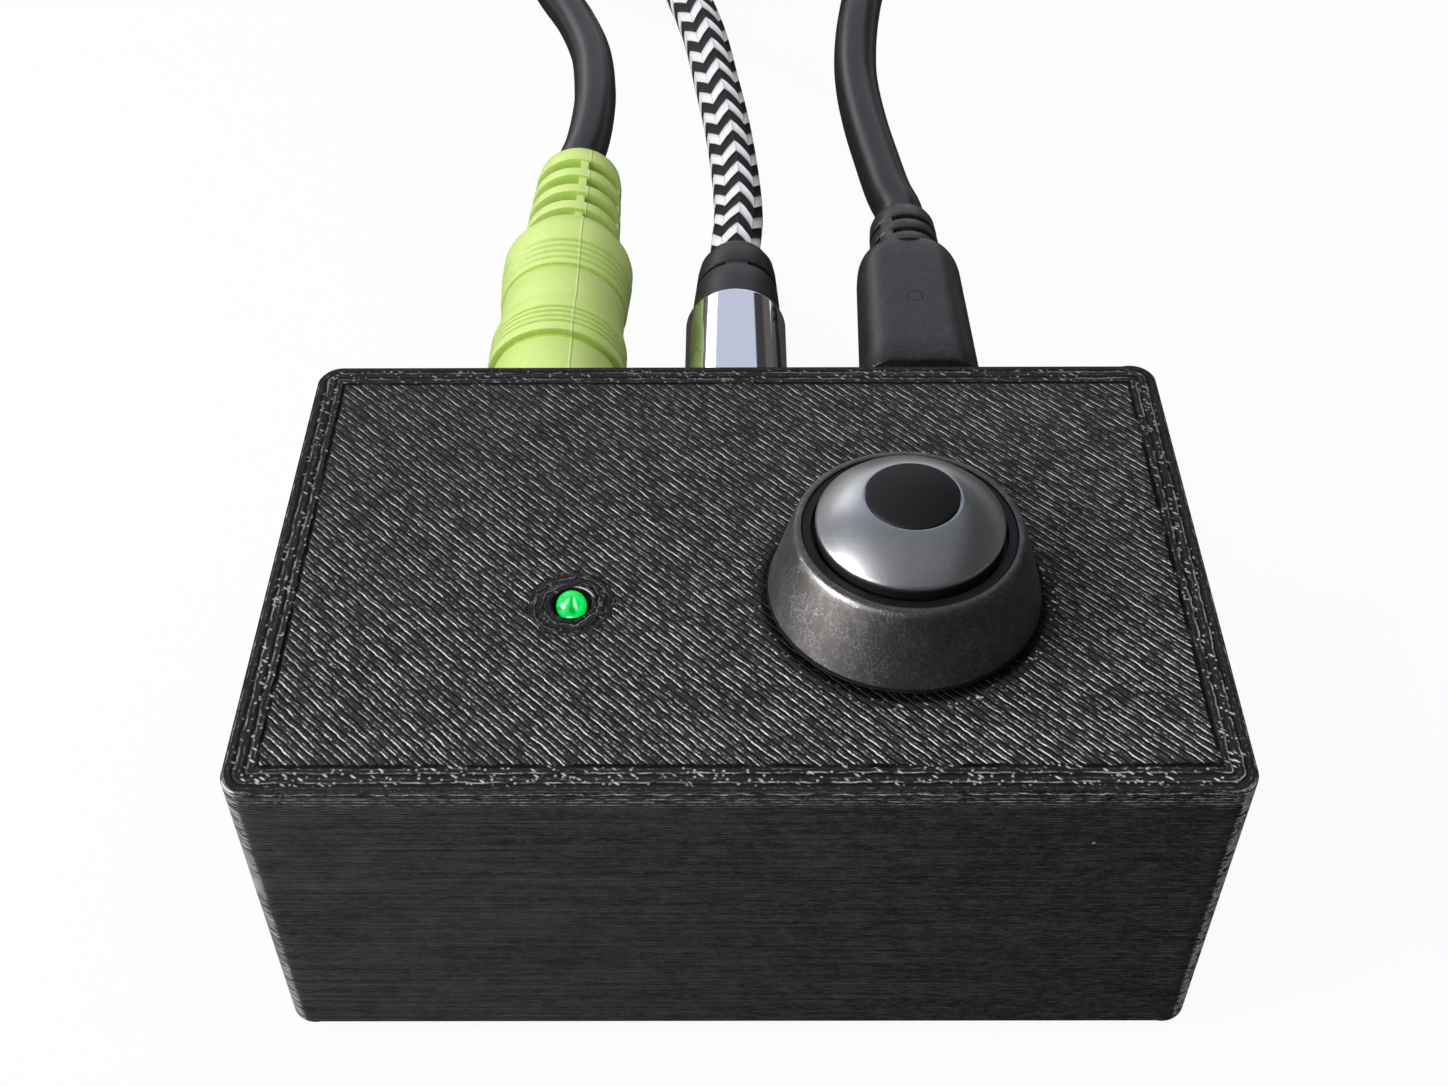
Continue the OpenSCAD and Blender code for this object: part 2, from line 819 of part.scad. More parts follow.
module control_chip() {
    color([0.05, 0.05, 0.05])
        translate([chip_x, chip_y, board_low - chip_h - 0.3])
            box(chip_w, chip_d, chip_h);
}

module chip_legs() {
    color([0.75, 0.72, 0.65])
        for (i = [0 : 6], s = [-1, 1])
            translate([chip_x + leg_pitch * (i - 3), chip_y + s * (chip_d / 2 + 0.6), board_low - 1.5])
                box(0.5, 1.2, 1.5);
}

module resistors() {
    color([0.12, 0.12, 0.14])
        for (i = [0 : 3])
            translate([resistor_left + i * resistor_pitch, resistor_y, board_top])
                box(1.6, 3.2, 0.6);
}

module capacitors() {
    color([0.25, 0.28, 0.35])
        for (p = [[cap_left, cap_front], [cap_left, cap_rear], [cap_right, cap_front]])
            translate([p[0], p[1], board_top])
                cylinder(d = cap_d, h = cap_h);
}

// Plugs, drawn along +Z

module audio_pin() {
    tip = 2.6;
    color([0.85, 0.83, 0.76])
        rotate([180, 0, 0]) {
            cylinder(d = pin_d + 2, h = plug_stand - 0.1);
            cylinder(d = pin_d, h = pin_l - tip);
            translate([0, 0, pin_l - tip])
                cylinder(d1 = pin_d - 0.9, d2 = pin_d - 0.3, h = tip / 2);
            translate([0, 0, pin_l - tip / 2])
                cylinder(d1 = pin_d - 0.3, d2 = 0.8, h = tip / 2);
        }
}

// Points of a band of small rings with grooves between them, each a little larger than the last
function ring_band(r, from, count, pitch, growth) = [for (i = [0 : count - 1]) each [
    [r + growth * i, from + pitch * i + 0.05], [r + growth * i, from + pitch * (i + 1) - 0.3],
    [r + growth * i - 0.14, from + pitch * (i + 1) - 0.2],
    [r + growth * i - 0.14, from + pitch * (i + 1) - 0.05]]];

// Slot around a bend relief, with ribs left along one line and shorter bridges across it
module relief_slot(outer, core, w, rib, bridge, bridge_reach) {
    difference() {
        ring(2 * outer, 2 * core, w);
        translate([0, 0, -CUT]) {
            if (rib > 0)
                box(3 * outer, rib, w + 2 * CUT);
            box(bridge, 2 * bridge_reach, w + 2 * CUT);
        }
    }
}

// Moulded body with two ringed shoulders and a slotted bend relief
module lime_body() {
    front = 5.7;
    rear = 16.6;
    rim = 25.8;
    broad = 1;
    relief_r = 5.05;
    core_r = 3.2;
    barrel_r = lime_r - 0.62;
    front_r = lime_r - 0.06;
    rear_r = lime_r - 0.4;
    color([0.6, 0.75, 0.2])
        difference() {
            rotate_extrude()
                polygon(concat(
                    [[0, 0], [barrel_r - 0.4, 0], [barrel_r, 0.4], [barrel_r, front]],
                    [[front_r, front], [front_r, front + broad]],
                    ring_band(front_r, front + broad, 4, 0.78, 0.01),
                    [[lime_r - 0.14, front + 4.3], [lime_r - 0.3, front + 5.3], [barrel_r, front + 6.2],
                        [barrel_r, rear], [rear_r, rear], [rear_r, rear + broad]],
                    ring_band(rear_r + 0.07, rear + broad, 4, 0.84, 0.06),
                    [[lime_r - 0.13, rear + 4.5], [lime_r - 0.13, rim - 2.9], [lime_r - 0.32, rim - 2.1],
                        [lime_r - 0.65, rim - 1.4], [lime_r - 1.05, rim - 0.6], [lime_r - 1.35, rim],
                        [relief_r, rim + 0.1], [relief_r - 0.5, lime_l - 2.2],
                        [relief_r - 0.7, lime_l - 1], [relief_r - 1.25, lime_l - 0.3],
                        [core_r, lime_l], [0, lime_l]]));
            for (i = [0 : 3])
                translate([0, 0, rim + 0.1 + 3.17 * i])
                    relief_slot(relief_r + 0.6, core_r, 1.75, 1.5, 1.1, relief_r - 0.65);
        }
}

module lime_plug() {
    behind(speaker_x, rear_y + plug_stand, socket_z)
        lime_body();
}

module lime_pin() {
    behind(speaker_x, rear_y + plug_stand, socket_z)
        audio_pin();
}

module at_lime_end() {
    lead_end(end_of(lime_coil_path), 90, lime_l)
        children();
}

module lime_end_plug() {
    at_lime_end()
        lime_body();
}

module lime_end_pin() {
    at_lime_end()
        audio_pin();
}

module chrome_body() {
    edge = 0.5;
    color([0.85, 0.85, 0.87])
        difference() {
            union() {
                cylinder(r = chrome_r, h = chrome_l - edge);
                translate([0, 0, chrome_l - edge])
                    cylinder(r = chrome_r - edge, h = edge);
                translate([0, 0, chrome_l - edge])
                    rotate_extrude()
                        translate([chrome_r - edge, 0])
                            circle(edge);
            }
            translate([0, 0, 4])
                cylinder(r = chrome_r - 1.2, h = chrome_l);
        }
}

module boot_body() {
    seat = 3;
    low_r = chrome_r - 0.5;
    color([0.04, 0.04, 0.04])
        difference() {
            union() {
                translate([0, 0, chrome_l - seat])
                    cylinder(r = chrome_r - 1.25, h = seat);
                translate([0, 0, chrome_l])
                    rotate_extrude()
                        polygon([[0, 0], [low_r, 0], [low_r - 0.1, 2.7], [low_r - 0.3, 5.4],
                            [low_r - 0.45, 7.5], [low_r - 0.65, 8.8], [low_r - 1.1, 9.8],
                            [low_r - 1.7, boot_l], [0, boot_l]]);
            }
            translate([0, 0, chrome_l + 4.9])
                relief_slot(chrome_r, low_r - 1.2, 0.55, 0, 2.2, chrome_r);
        }
}

module chrome_shell() {
    behind(player_x, rear_y + plug_stand, socket_z)
        chrome_body();
}

module chrome_boot() {
    behind(player_x, rear_y + plug_stand, socket_z)
        boot_body();
}

module chrome_pin() {
    behind(player_x, rear_y + plug_stand, socket_z)
        audio_pin();
}

module at_chrome_end() {
    lead_end(end_of(braid_coil_path), 90, chrome_l + boot_l)
        children();
}

module chrome_end_shell() {
    at_chrome_end()
        chrome_body();
}

module chrome_end_boot() {
    at_chrome_end()
        boot_body();
}

module chrome_end_pin() {
    at_chrome_end()
        audio_pin();
}

// Moulded USB body with rounded shoulders and a slotted bend relief
module usb_body(w, h, r, long) {
    slice = 0.2;
    shoulder = 4;
    neck_d = 7.2;
    end_d = 6.2;
    hull($fn = 32) {
        rounded_slab(w - 0.5, h - 0.5, slice, r - 0.25);
        translate([0, 0, 0.3])
            rounded_slab(w, h, slice, r);
        translate([0, 0, long - shoulder])
            rounded_slab(w - 1, h - 0.5, slice, r - 0.3);
        translate([0, 0, long - 1.5])
            rounded_slab(w - 2.4, h - 0.7, slice, r - 0.4);
        translate([0, 0, long - slice])
            rounded_slab(w - 4, h - 1, slice, r - 0.6);
    }
    translate([0, 0, long - slice])
        difference() {
            cylinder(d1 = neck_d, d2 = end_d, h = usb_relief_l + slice);
            for (z = [1.1, 3.4])
                translate([0, 0, z])
                    rotate([0, 0, -36.5])
                        relief_slot(neck_d, end_d / 2 - 0.5, 0.8, 0, 1.5, neck_d);
        }
}

module usb_plug() {
    neck_w = usb_slot_w - 0.9;
    neck_h = usb_slot_h - 0.8;
    color([0.05, 0.05, 0.055])
        behind(usb_x, in_d / 2 + 0.2, usb_z) {
            translate([-neck_w / 2, -neck_h / 2, 0])
                cube([neck_w, neck_h, usb_neck_l + CUT]);
            translate([0, 0, usb_neck_l])
                usb_body(11.5, 7.8, 3.4, usb_body_l);
        }
}

module usb_plug_shell() {
    out_w = usb_w - 2 * usb_skin - 0.3;
    out_h = usb_h - 2 * usb_skin - 0.3;
    long = usb_l - 2.4;
    color([0.72, 0.72, 0.74])
        behind(usb_x, in_d / 2 + 0.2 - long, usb_z)
            difference() {
                translate([-out_w / 2, -out_h / 2, 0])
                    cube([out_w, out_h, long]);
                translate([usb_skin - out_w / 2, usb_skin - out_h / 2, -CUT])
                    cube([out_w - 2 * usb_skin, out_h - 2 * usb_skin, long + 2 * CUT]);
            }
}

module at_usb_end() {
    lead_end(end_of(usb_coil_path), 180, big_usb_l)
        children();
}

module usb_end_plug() {
    color([0.05, 0.05, 0.055])
        at_usb_end()
            usb_body(15.8, 8.2, 2.4, big_usb_l - usb_relief_l);
}

module usb_end_shell() {
    skin = 0.4;
    w = 12;
    h = 4.5;
    long = 12;
    color([0.72, 0.72, 0.74])
        at_usb_end()
            translate([0, 0, -long])
                difference() {
                    translate([-w / 2, -h / 2, 0])
                        cube([w, h, long]);
                    translate([skin - w / 2, skin - h / 2, -CUT])
                        cube([w - 2 * skin, h / 2 - skin, long - 2]);
                }
}

// Cords and coils

module lime_cord() {
    color([0.05, 0.05, 0.05])
        tube(lime_lead_path, lime_cord_d, 10);
}

module lime_coil() {
    color([0.05, 0.05, 0.05])
        tube(lime_coil_path, lime_cord_d, 6);
}

module braid_cord() {
    color([0.5, 0.5, 0.5])
        tube(braid_lead_path, braid_cord_d, 10);
}

module braid_coil() {
    color([0.5, 0.5, 0.5])
        tube(braid_coil_path, braid_cord_d, 6);
}

module usb_cord() {
    color([0.06, 0.06, 0.06])
        tube(usb_lead_path, usb_cord_d, 10);
}

module usb_coil() {
    color([0.06, 0.06, 0.06])
        tube(usb_coil_path, usb_cord_d, 6);
}

// Strap around the pile of coils, on the side that faces the case
module coil_strap() {
    room = 0.5;
    inner = coil_in - cord_max / 2 - room;
    outer = coil_out + cord_max / 2 + room;
    inside_h = pile_top + 0.2 - strap_t;
    color([0.1, 0.1, 0.1])
        translate([0, coil_y - (inner + outer) / 2, 0])
            difference() {
                box(strap_w, outer - inner + 2 * strap_t, inside_h + 2 * strap_t);
                translate([0, 0, strap_t])
                    box(strap_w + 2 * CUT, outer - inner, inside_h);
            }
}

case_shell();
base_plate();
base_screws();
thread_inserts();
rubber_feet();
main_board();
board_screws();
speaker_jack();
player_jack();
jack_tabs();
usb_socket();
usb_tongue();
encoder_base();
encoder_bushing();
encoder_frame();
encoder_pins();
encoder_rotor();
detent_spring();
switch_dome();
lock_washer();
panel_nut();
encoder_shaft();
knob_core();
knob_skirt();
knob_dome();
dome_inlay();
led_lens();
led_wires();
led_spacer();
relays();
control_chip();
chip_legs();
resistors();
capacitors();
lime_plug();
lime_pin();
lime_cord();
lime_coil();
lime_end_plug();
lime_end_pin();
chrome_shell();
chrome_boot();
chrome_pin();
braid_cord();
braid_coil();
chrome_end_shell();
chrome_end_boot();
chrome_end_pin();
usb_plug();
usb_plug_shell();
usb_cord();
usb_coil();
usb_end_plug();
usb_end_shell();
coil_strap();
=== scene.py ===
import math
from functools import partialmethod

import bpy
from mathutils import Matrix, Vector


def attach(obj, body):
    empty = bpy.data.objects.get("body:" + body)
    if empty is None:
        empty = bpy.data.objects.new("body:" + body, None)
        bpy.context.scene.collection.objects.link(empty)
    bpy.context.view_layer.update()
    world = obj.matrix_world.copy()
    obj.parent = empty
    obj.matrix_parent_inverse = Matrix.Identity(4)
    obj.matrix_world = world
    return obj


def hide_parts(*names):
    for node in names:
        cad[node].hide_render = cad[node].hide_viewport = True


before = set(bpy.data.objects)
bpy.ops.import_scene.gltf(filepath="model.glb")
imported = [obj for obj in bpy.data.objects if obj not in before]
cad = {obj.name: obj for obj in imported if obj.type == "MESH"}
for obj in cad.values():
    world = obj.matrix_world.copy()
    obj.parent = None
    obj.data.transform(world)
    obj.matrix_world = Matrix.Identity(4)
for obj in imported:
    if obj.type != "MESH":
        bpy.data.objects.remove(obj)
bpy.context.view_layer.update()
scene = bpy.context.scene
scene.view_settings.view_transform = "Standard"

# Lengths in this script are in millimetres, and become metres where a mesh is made.
MM = 0.001


# Camera

PHOTO_WIDE, FOCAL = 1448, 1794.276  # pixels
SENSOR = 36


def photo_camera():
    tilt, turn, roll = (math.radians(a) for a in (45.008, -0.280, -0.320))
    ahead = Vector((math.sin(turn) * math.cos(tilt), math.cos(turn) * math.cos(tilt), -math.sin(tilt)))
    side = Vector((math.cos(turn), -math.sin(turn), 0))
    over = side.cross(ahead)
    right = math.cos(roll) * side + math.sin(roll) * over
    up = math.cos(roll) * over - math.sin(roll) * side
    data = bpy.data.cameras.new("photo_camera")
    data.sensor_width = SENSOR
    data.lens = SENSOR * FOCAL / PHOTO_WIDE
    data.clip_start, data.clip_end = 0.005, 20
    camera = bpy.data.objects.new("photo_camera", data)
    camera.matrix_world = (Matrix.Translation(Vector((-0.597, -101.806, 135.657)) * MM)
                           @ Matrix((right, up, -ahead)).transposed().to_4x4())
    scene.collection.objects.link(camera)
    scene.camera = camera


photo_camera()


# Shader nodes

class Look:
    """Nodes of one material or group. A value is a number, a colour or another node's socket."""

    def __init__(self, tree):
        self.tree = tree
        tree.nodes.clear()

    def node(self, kind, feeds=None, **settings):
        made = self.tree.nodes.new("ShaderNode" + kind)
        for key, value in settings.items():
            setattr(made, key, value)
        for key, value in (feeds or {}).items():
            self.feed(made.inputs[key], value)
        return made

    def feed(self, socket, value):
        if isinstance(value, bpy.types.NodeSocket):
            self.tree.links.new(value, socket)
        elif socket.type == "RGBA":
            socket.default_value = (*value, 1.0)
        else:
            socket.default_value = value

    def math(self, operation, *values, clamp=False):
        return self.node("Math", dict(enumerate(values)), operation=operation, use_clamp=clamp).outputs[0]

    times = partialmethod(math, "MULTIPLY")
    over = partialmethod(math, "DIVIDE")
    plus = partialmethod(math, "ADD")
    less = partialmethod(math, "SUBTRACT")
    scaled = partialmethod(math, "MULTIPLY_ADD")
    most = partialmethod(math, "MAXIMUM")
    least = partialmethod(math, "MINIMUM")
    unsigned = partialmethod(math, "ABSOLUTE")

    def off(self, a, b):
        """How far apart two numbers are."""
        return self.unsigned(self.less(a, b))

    def vector(self, operation, *values):
        return self.node("VectorMath", dict(enumerate(values)), operation=operation).outputs[0]

    def sized(self, place, scale):
        """A place with each of its sides times its own number."""
        return self.vector("MULTIPLY", place, scale)

    def turned(self, place, angle):
        feeds = {"Vector": place, "Angle": math.radians(angle)}
        return self.node("VectorRotate", feeds, rotation_type="Z_AXIS").outputs[0]

    def apart(self, place):
        return self.node("SeparateXYZ", {0: place}).outputs

    def coords(self, kind):
        return self.apart(self.node("TexCoord").outputs[kind])

    def length(self, x, y):
        return self.math("SQRT", self.plus(self.times(x, x), self.times(y, y)))

    def together(self, x, y, z):
        return self.node("CombineXYZ", {0: x, 1: y, 2: z}).outputs[0]

    def noise(self, place, scale, detail=2.0, rough=0.5):
        feeds = {"Vector": place, "Scale": scale, "Detail": detail, "Roughness": rough}
        return self.node("TexNoise", feeds).outputs[0]

    def step(self, value, low, high, to_low=0.0, to_high=1.0):
        feeds = {0: value, 1: low, 2: high, 3: to_low, 4: to_high}
        return self.node("MapRange", feeds, interpolation_type="SMOOTHSTEP").outputs[0]

    def blend(self, share, a, b):
        """Two numbers mixed by a share from 0 to 1."""
        return self.node("Mix", {0: share, 2: a, 3: b}, data_type="FLOAT").outputs[0]

    def tint(self, share, a, b):
        """Two colours mixed by a share from 0 to 1."""
        return self.node("Mix", {0: share, 6: a, 7: b}, data_type="RGBA").outputs[2]

    def shade(self, colour, value):
        """A colour times a value that changes over the surface."""
        return self.node("VectorMath", {0: colour, "Scale": value}, operation="SCALE").outputs[0]

    def group(self, tree, **feeds):
        made = self.node("Group", node_tree=tree)
        for key, value in feeds.items():
            self.feed(made.inputs[key], value)
        return made.outputs

    def grain(self, place, scale, amount):
        return self.group(surface_grain, Place=place, Scale=scale, Amount=amount)

    def hairs(self, place, scale):
        return self.group(hair_scratches, Place=place, Scale=scale)

    def specks(self, place, scale, rare, size=0.075):
        return self.group(dust_specks, Place=place, Scale=scale, Rare=rare, Size=size)["Specks"]

    def edges(self, radius):
        return self.group(worn_edges, Radius=radius * MM)

    def surface(self, colour, rough, height, normal=None):
        """Feeds the shader's colour, roughness and normal, which comes from a height in millimetres."""
        bump = self.node("Bump", {"Strength": 1.0, "Distance": MM, "Height": height})
        if normal is not None:
            self.feed(bump.inputs["Normal"], normal)
        for key, value in (("Base Color", colour), ("Roughness", rough), ("Normal", bump.outputs[0])):
            self.feed(self.shader[key], value)
        return self.made


def effect(name, takes, gives, write):
    """A shader node group; write(look, inputs) returns one socket for each name in gives."""
    tree = bpy.data.node_groups.new(name, "ShaderNodeTree")
    for way, keys in (("INPUT", takes), ("OUTPUT", gives)):
        for key in keys:
            kind = "NodeSocketVector" if key in ("Place", "Normal") else "NodeSocketFloat"
            tree.interface.new_socket(key, in_out=way, socket_type=kind)
    look = Look(tree)
    entry = tree.nodes.new("NodeGroupInput")
    leave = tree.nodes.new("NodeGroupOutput")
    for socket, value in zip(leave.inputs, write(look, entry.outputs)):
        look.feed(socket, value)
    return tree


BEADS = ("Across", "Along", "Place", "Pitch", "Wander", "Width")


def write_beads(look, take):
    """Rows of printed plastic beads: their height, and broken bright lines along their flanks, which are a painted
    highlight.
    """
    across, along, place, pitch, wander, width = (take[key] for key in BEADS)
    sway = look.less(look.noise(place, 0.9, 4.0, 0.6), 0.5)
    lane = look.over(look.scaled(sway, look.times(wander, 2.0), across), pitch)
    row = look.math("FRACT", lane)
    line = look.math("FLOOR", lane)
    off = look.unsigned(look.scaled(row, 2.0, -1.0))
    crown = look.less(1.0, look.math("POWER", off, 4.0))
    lumps = look.noise(place, 2.6, 3.0, 0.6)
    height = look.times(crown, look.scaled(lumps, 0.9, 0.55))
    # What this loop builds is a painted highlight: broken bright lines where light glints on the bead flanks.
    painted_shine = 0.0
    for at, thick, stretch, seed, dim, full in ((0.2, 1.0, 0.7, 3.7, 0.4, 1.0), (0.6, 0.8, 1.6, 5.3, 0.46, 0.5)):
        lay = look.together(look.times(along, stretch), look.times(line, seed), 0.0)
        painted_light = look.step(look.noise(lay, 1.0, 4.0, 0.7), dim, dim + 0.26, 0.0, full)
        flank = look.step(look.off(row, at), look.times(width, 0.5 * thick), look.times(width, 0.15 * thick))
        painted_shine = look.most(painted_shine, look.times(flank, painted_light))
    return height, painted_shine


printed_beads = effect("printed_beads", BEADS, ("Height", "PaintedShine"), write_beads)


def write_grain(look, take):
    """Fine moulded or cast grain: a shade near 1, and a height from 0 to 1."""
    fine = look.noise(take["Place"], take["Scale"], 3.0, 0.6)
    broad = look.noise(take["Place"], look.times(take["Scale"], 0.06), 2.0)
    both = look.plus(look.less(fine, 0.5), look.less(broad, 0.5))
    return look.scaled(both, look.times(take["Amount"], 2.0), 1.0), fine


surface_grain = effect("surface_grain", ("Place", "Scale", "Amount"), ("Shade", "Height"), write_grain)


def write_scratches(look, take):
    """Fine wavy hairlines that run in several directions."""
    lines = 0.0
    for angle, stretch in ((20, 0.35), (75, 0.3), (-40, 0.4)):
        lay = look.sized(look.turned(take["Place"], angle), (1.0, stretch, stretch))
        wave = look.off(look.noise(lay, take["Scale"], 2.0), 0.5)
        hair = look.times(look.step(wave, 0.028, 0.0), look.step(look.noise(lay, 1.4), 0.42, 0.6))
        lines = look.most(lines, hair)
    return lines, look.noise(take["Place"], take["Scale"], 4.0, 0.65)


hair_scratches = effect("hair_scratches", ("Place", "Scale"), ("Lines", "Grain"), write_scratches)


def write_dust(look, take):
    """A few tiny pale specks."""
    cells = look.node("TexVoronoi", {"Vector": take["Place"], "Scale": take["Scale"]}, feature="F1")
    chosen = look.step(look.apart(cells.outputs["Color"])[0], take["Rare"], 1.0)
    near = look.step(cells.outputs["Distance"], take["Size"], look.times(take["Size"], 0.4))
    return [look.times(near, look.math("GREATER_THAN", chosen, 0.0))]


dust_specks = effect("dust_specks", ("Place", "Scale", "Rare", "Size"), ("Specks",), write_dust)


def write_edges(look, take):
    """Rounded shading along sharp edges, and a mask of where those edges are."""
    soft = look.node("Bevel", {"Radius": take["Radius"]}, samples=4).outputs[0]
    sharp = look.node("NewGeometry").outputs["Normal"]
    same = look.node("VectorMath", {0: soft, 1: sharp}, operation="DOT_PRODUCT").outputs["Value"]
    return soft, look.step(look.less(1.0, same), 0.02, 0.25)


worn_edges = effect("worn_edges", ("Radius",), ("Normal", "Edge"), write_edges)


def blank(name):
    made = bpy.data.materials.new(name)
    made.use_nodes = True
    look = Look(made.node_tree)
    look.made = made
    return look


def material(name, colour, rough, metal=0.0, specular=0.5, **sockets):
    """The nodes of a named material with its Principled shader, and the surface's place in millimetres."""
    look = blank(name)
    shader = look.node("BsdfPrincipled", {
        "Base Color": colour, "Roughness": rough, "Metallic": metal,
        "Specular IOR Level": specular, **sockets})
    look.node("OutputMaterial", {0: shader.outputs[0]})
    look.shader = shader.inputs
    place = look.sized(look.node("TexCoord").outputs["Object"], (1 / MM,) * 3)
    return look, place


def moulded(name, colour, rough, grain=6.0, depth=0.006, shade=0.15, specular=0.5, edge=0.15):
    """Moulded plastic or rubber: fine grain, softened edges that are rubbed a little paler."""
    look, place = material(name, colour, rough, specular=specular)
    grainy = look.grain(place, grain, shade)
    edges = look.edges(edge)
    base = look.shade(colour, grainy["Shade"])
    rubbed = look.shade(tuple(min(1.0, c * 1.35 + 0.015) for c in colour), grainy["Shade"])
    return look.surface(look.tint(edges["Edge"], base, rubbed), look.scaled(grainy["Height"], 0.16, rough - 0.08),
                        look.times(grainy["Height"], depth), edges["Normal"])


def plated(name, colour, rough, scratch=3.0, depth=0.002, edge=0.1):
    """Plated or bare metal: fine scratches, softened edges that are rubbed bright."""
    look, place = material(name, colour, rough, metal=1.0)
    hairs = look.hairs(place, scratch)
    edges = look.edges(edge)
    tone = look.scaled(hairs["Grain"], 0.3, 0.85)
    worn = look.most(edges["Edge"], look.times(hairs["Lines"], 0.5))
    bright = tuple(min(1.0, c * 1.25) for c in colour)
    return look.surface(look.shade(look.tint(worn, colour, bright), tone),
                        look.scaled(hairs["Grain"], 0.2, rough - 0.1),
                        look.scaled(hairs["Lines"], -depth, look.times(hairs["Grain"], depth)), edges["Normal"])


# Meshes

def piece(name, points, faces, body, smooth=40, uv=None):
    """A mesh object from points in millimetres, on a body. uv gives one pair for each corner."""
    mesh = bpy.data.meshes.new(name)
    mesh.from_pydata([Vector(p) * MM for p in points], [], faces)
    if uv:
        flat = mesh.uv_layers.new(name="along_cord")
        flat.data.foreach_set("uv", [number for pair in uv for number in pair])
    mesh.polygons.foreach_set("use_smooth", [True] * len(mesh.polygons))
    mesh.update()
    mesh.set_sharp_from_angle(angle=math.radians(smooth))
    made = bpy.data.objects.new(name, mesh)
    scene.collection.objects.link(made)
    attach(made, body)
    return made


def eased(points, size):
    """A profile with its corners rounded off by up to a size."""
    line = [Vector(points[0])]
    for a, b, c in zip(points, points[1:], points[2:]):
        a, b, c = Vector(a), Vector(b), Vector(c)
        near = min(size, 0.45 * (b - a).length, 0.45 * (c - b).length)
        start, end = b + (a - b).normalized() * near, b + (c - b).normalized() * near
        line += [(1 - t) ** 2 * start + 2 * t * (1 - t) * b + t * t * end for t in (0, 0.25, 0.5, 0.75, 1)]
    return line + [Vector(points[-1])]


def tube_faces(rows, count, ring=False):
    """Faces of a tube from rows of points, closed by two ends, or as a ring from its last row to its first."""
    steps = [(i * count, (i + 1) % rows * count) for i in range(rows - (not ring))]
    faces = [(i + k, i + (k + 1) % count, j + (k + 1) % count, j + k) for i, j in steps for k in range(count)]
    if not ring:
        faces += [tuple(range(count - 1, -1, -1)), tuple(range((rows - 1) * count, rows * count))]
    return faces


def arc(r, s, radius, angles):
    """Points of a profile round a point of it."""
    return [(r + radius * math.cos(math.radians(a)), s + radius * math.sin(math.radians(a))) for a in angles]


def skin(name, rows, angles, place, body, smooth=40, lean=0.0, painted_shade_cuts=None, ring=False):
    """A round piece along Z: each row is a height and a radius for every angle.

    lean bends it sideways over its length; the cut shares give each point's share of painted shade in a slot or
    groove, kept as its UV.
    """
    count = len(angles)
    points = [place @ Vector((r * math.cos(a) + lean * (s / 40) ** 2, r * math.sin(a), s))
              for s, radii in rows for a, r in zip(angles, radii)]
    faces = tube_faces(len(rows), count, ring)
    uv = painted_shade_cuts and [(painted_shade_cuts[p // count][p % count], rows[p // count][0]) for face in faces for p in face]
    return piece(name, points, faces, body, smooth, uv)


def turned(name, profile, place, body, sides=128, smooth=40, ring=False):
    """A piece turned from a profile of (radius, height)."""
    angles = [2 * math.pi * k / sides for k in range(sides)]
    return skin(name, [(s, [r] * sides) for r, s in profile], angles, place, body, smooth, ring=ring)


def behind(x, y, z):
    return Matrix.Translation((x, y, z)) @ Matrix.Rotation(math.radians(-90), 4, "X")


def on_end(end, heading, long):
    turn = math.radians(heading)
    far = Vector(end) + long * Vector((math.cos(turn), math.sin(turn), 0))
    return (Matrix.Translation(far) @ Matrix.Rotation(turn - math.pi / 2, 4, "Z")
            @ Matrix.Rotation(math.pi / 2, 4, "X"))


# Cords: the routes of the CAD leads, as whole cords from plug to plug

COIL_Y, COIL_R, PITCH, WIDEST = 193.0, 27.5, 5.7, 5.2


def smooth_line(points, steps):
    p = [Vector(q) for q in points]
    p = [2 * p[0] - p[1], *p, 2 * p[-1] - p[-2]]
    line = []
    for a, b, c, d in zip(p, p[1:], p[2:], p[3:]):
        for t in (j / steps for j in range(steps)):
            line.append(0.5 * (2 * b + (c - a) * t + (2 * a - 5 * b + 4 * c - d) * t * t
                               + (3 * b - a - 3 * c + d) * t ** 3))
    return line + [p[-2]]


def layer(k):
    return 3.8 + k * PITCH


def lead_line(start, end, offsets, thick):
    start, end = Vector(start), Vector(end)
    way = [start + Vector((x, y, fall * (end.z - start.z))) for x, y, fall in offsets]
    first = start + Vector((0, thick / 2, 0))
    last = end - Vector((0, 2 * thick, 0))
    return smooth_line([start, first, *way, last, end], 12)


def coil_line(turns, k, start, way):
    line = []
    for i in range(int(72 * turns) + 1):
        t = i / 72
        r = COIL_R - PITCH * turns / 4 + PITCH * abs(t - turns / 2)
        climb = min(1.0, max(0.0, 2 * (t - turns / 2) + 0.5))
        a = math.radians(start + way * 360 * t)
        line.append(Vector((r * math.cos(a), COIL_Y + r * math.sin(a), layer(k) + PITCH * climb)))
    return line


def spaced(line, fine, coarse, fine_for):
    """The same line with points a set distance apart: close together near its start."""
    out, walked, due = [line[0]], 0.0, fine
    for a, b in zip(line, line[1:]):
        long = (b - a).length
        while long > 0 and due <= walked + long:
            out.append(a.lerp(b, (due - walked) / long))
            due += fine if due < fine_for else coarse
        walked += long
    if (out[-1] - line[-1]).length < 0.4:
        out.pop()
    return out + [line[-1]], walked


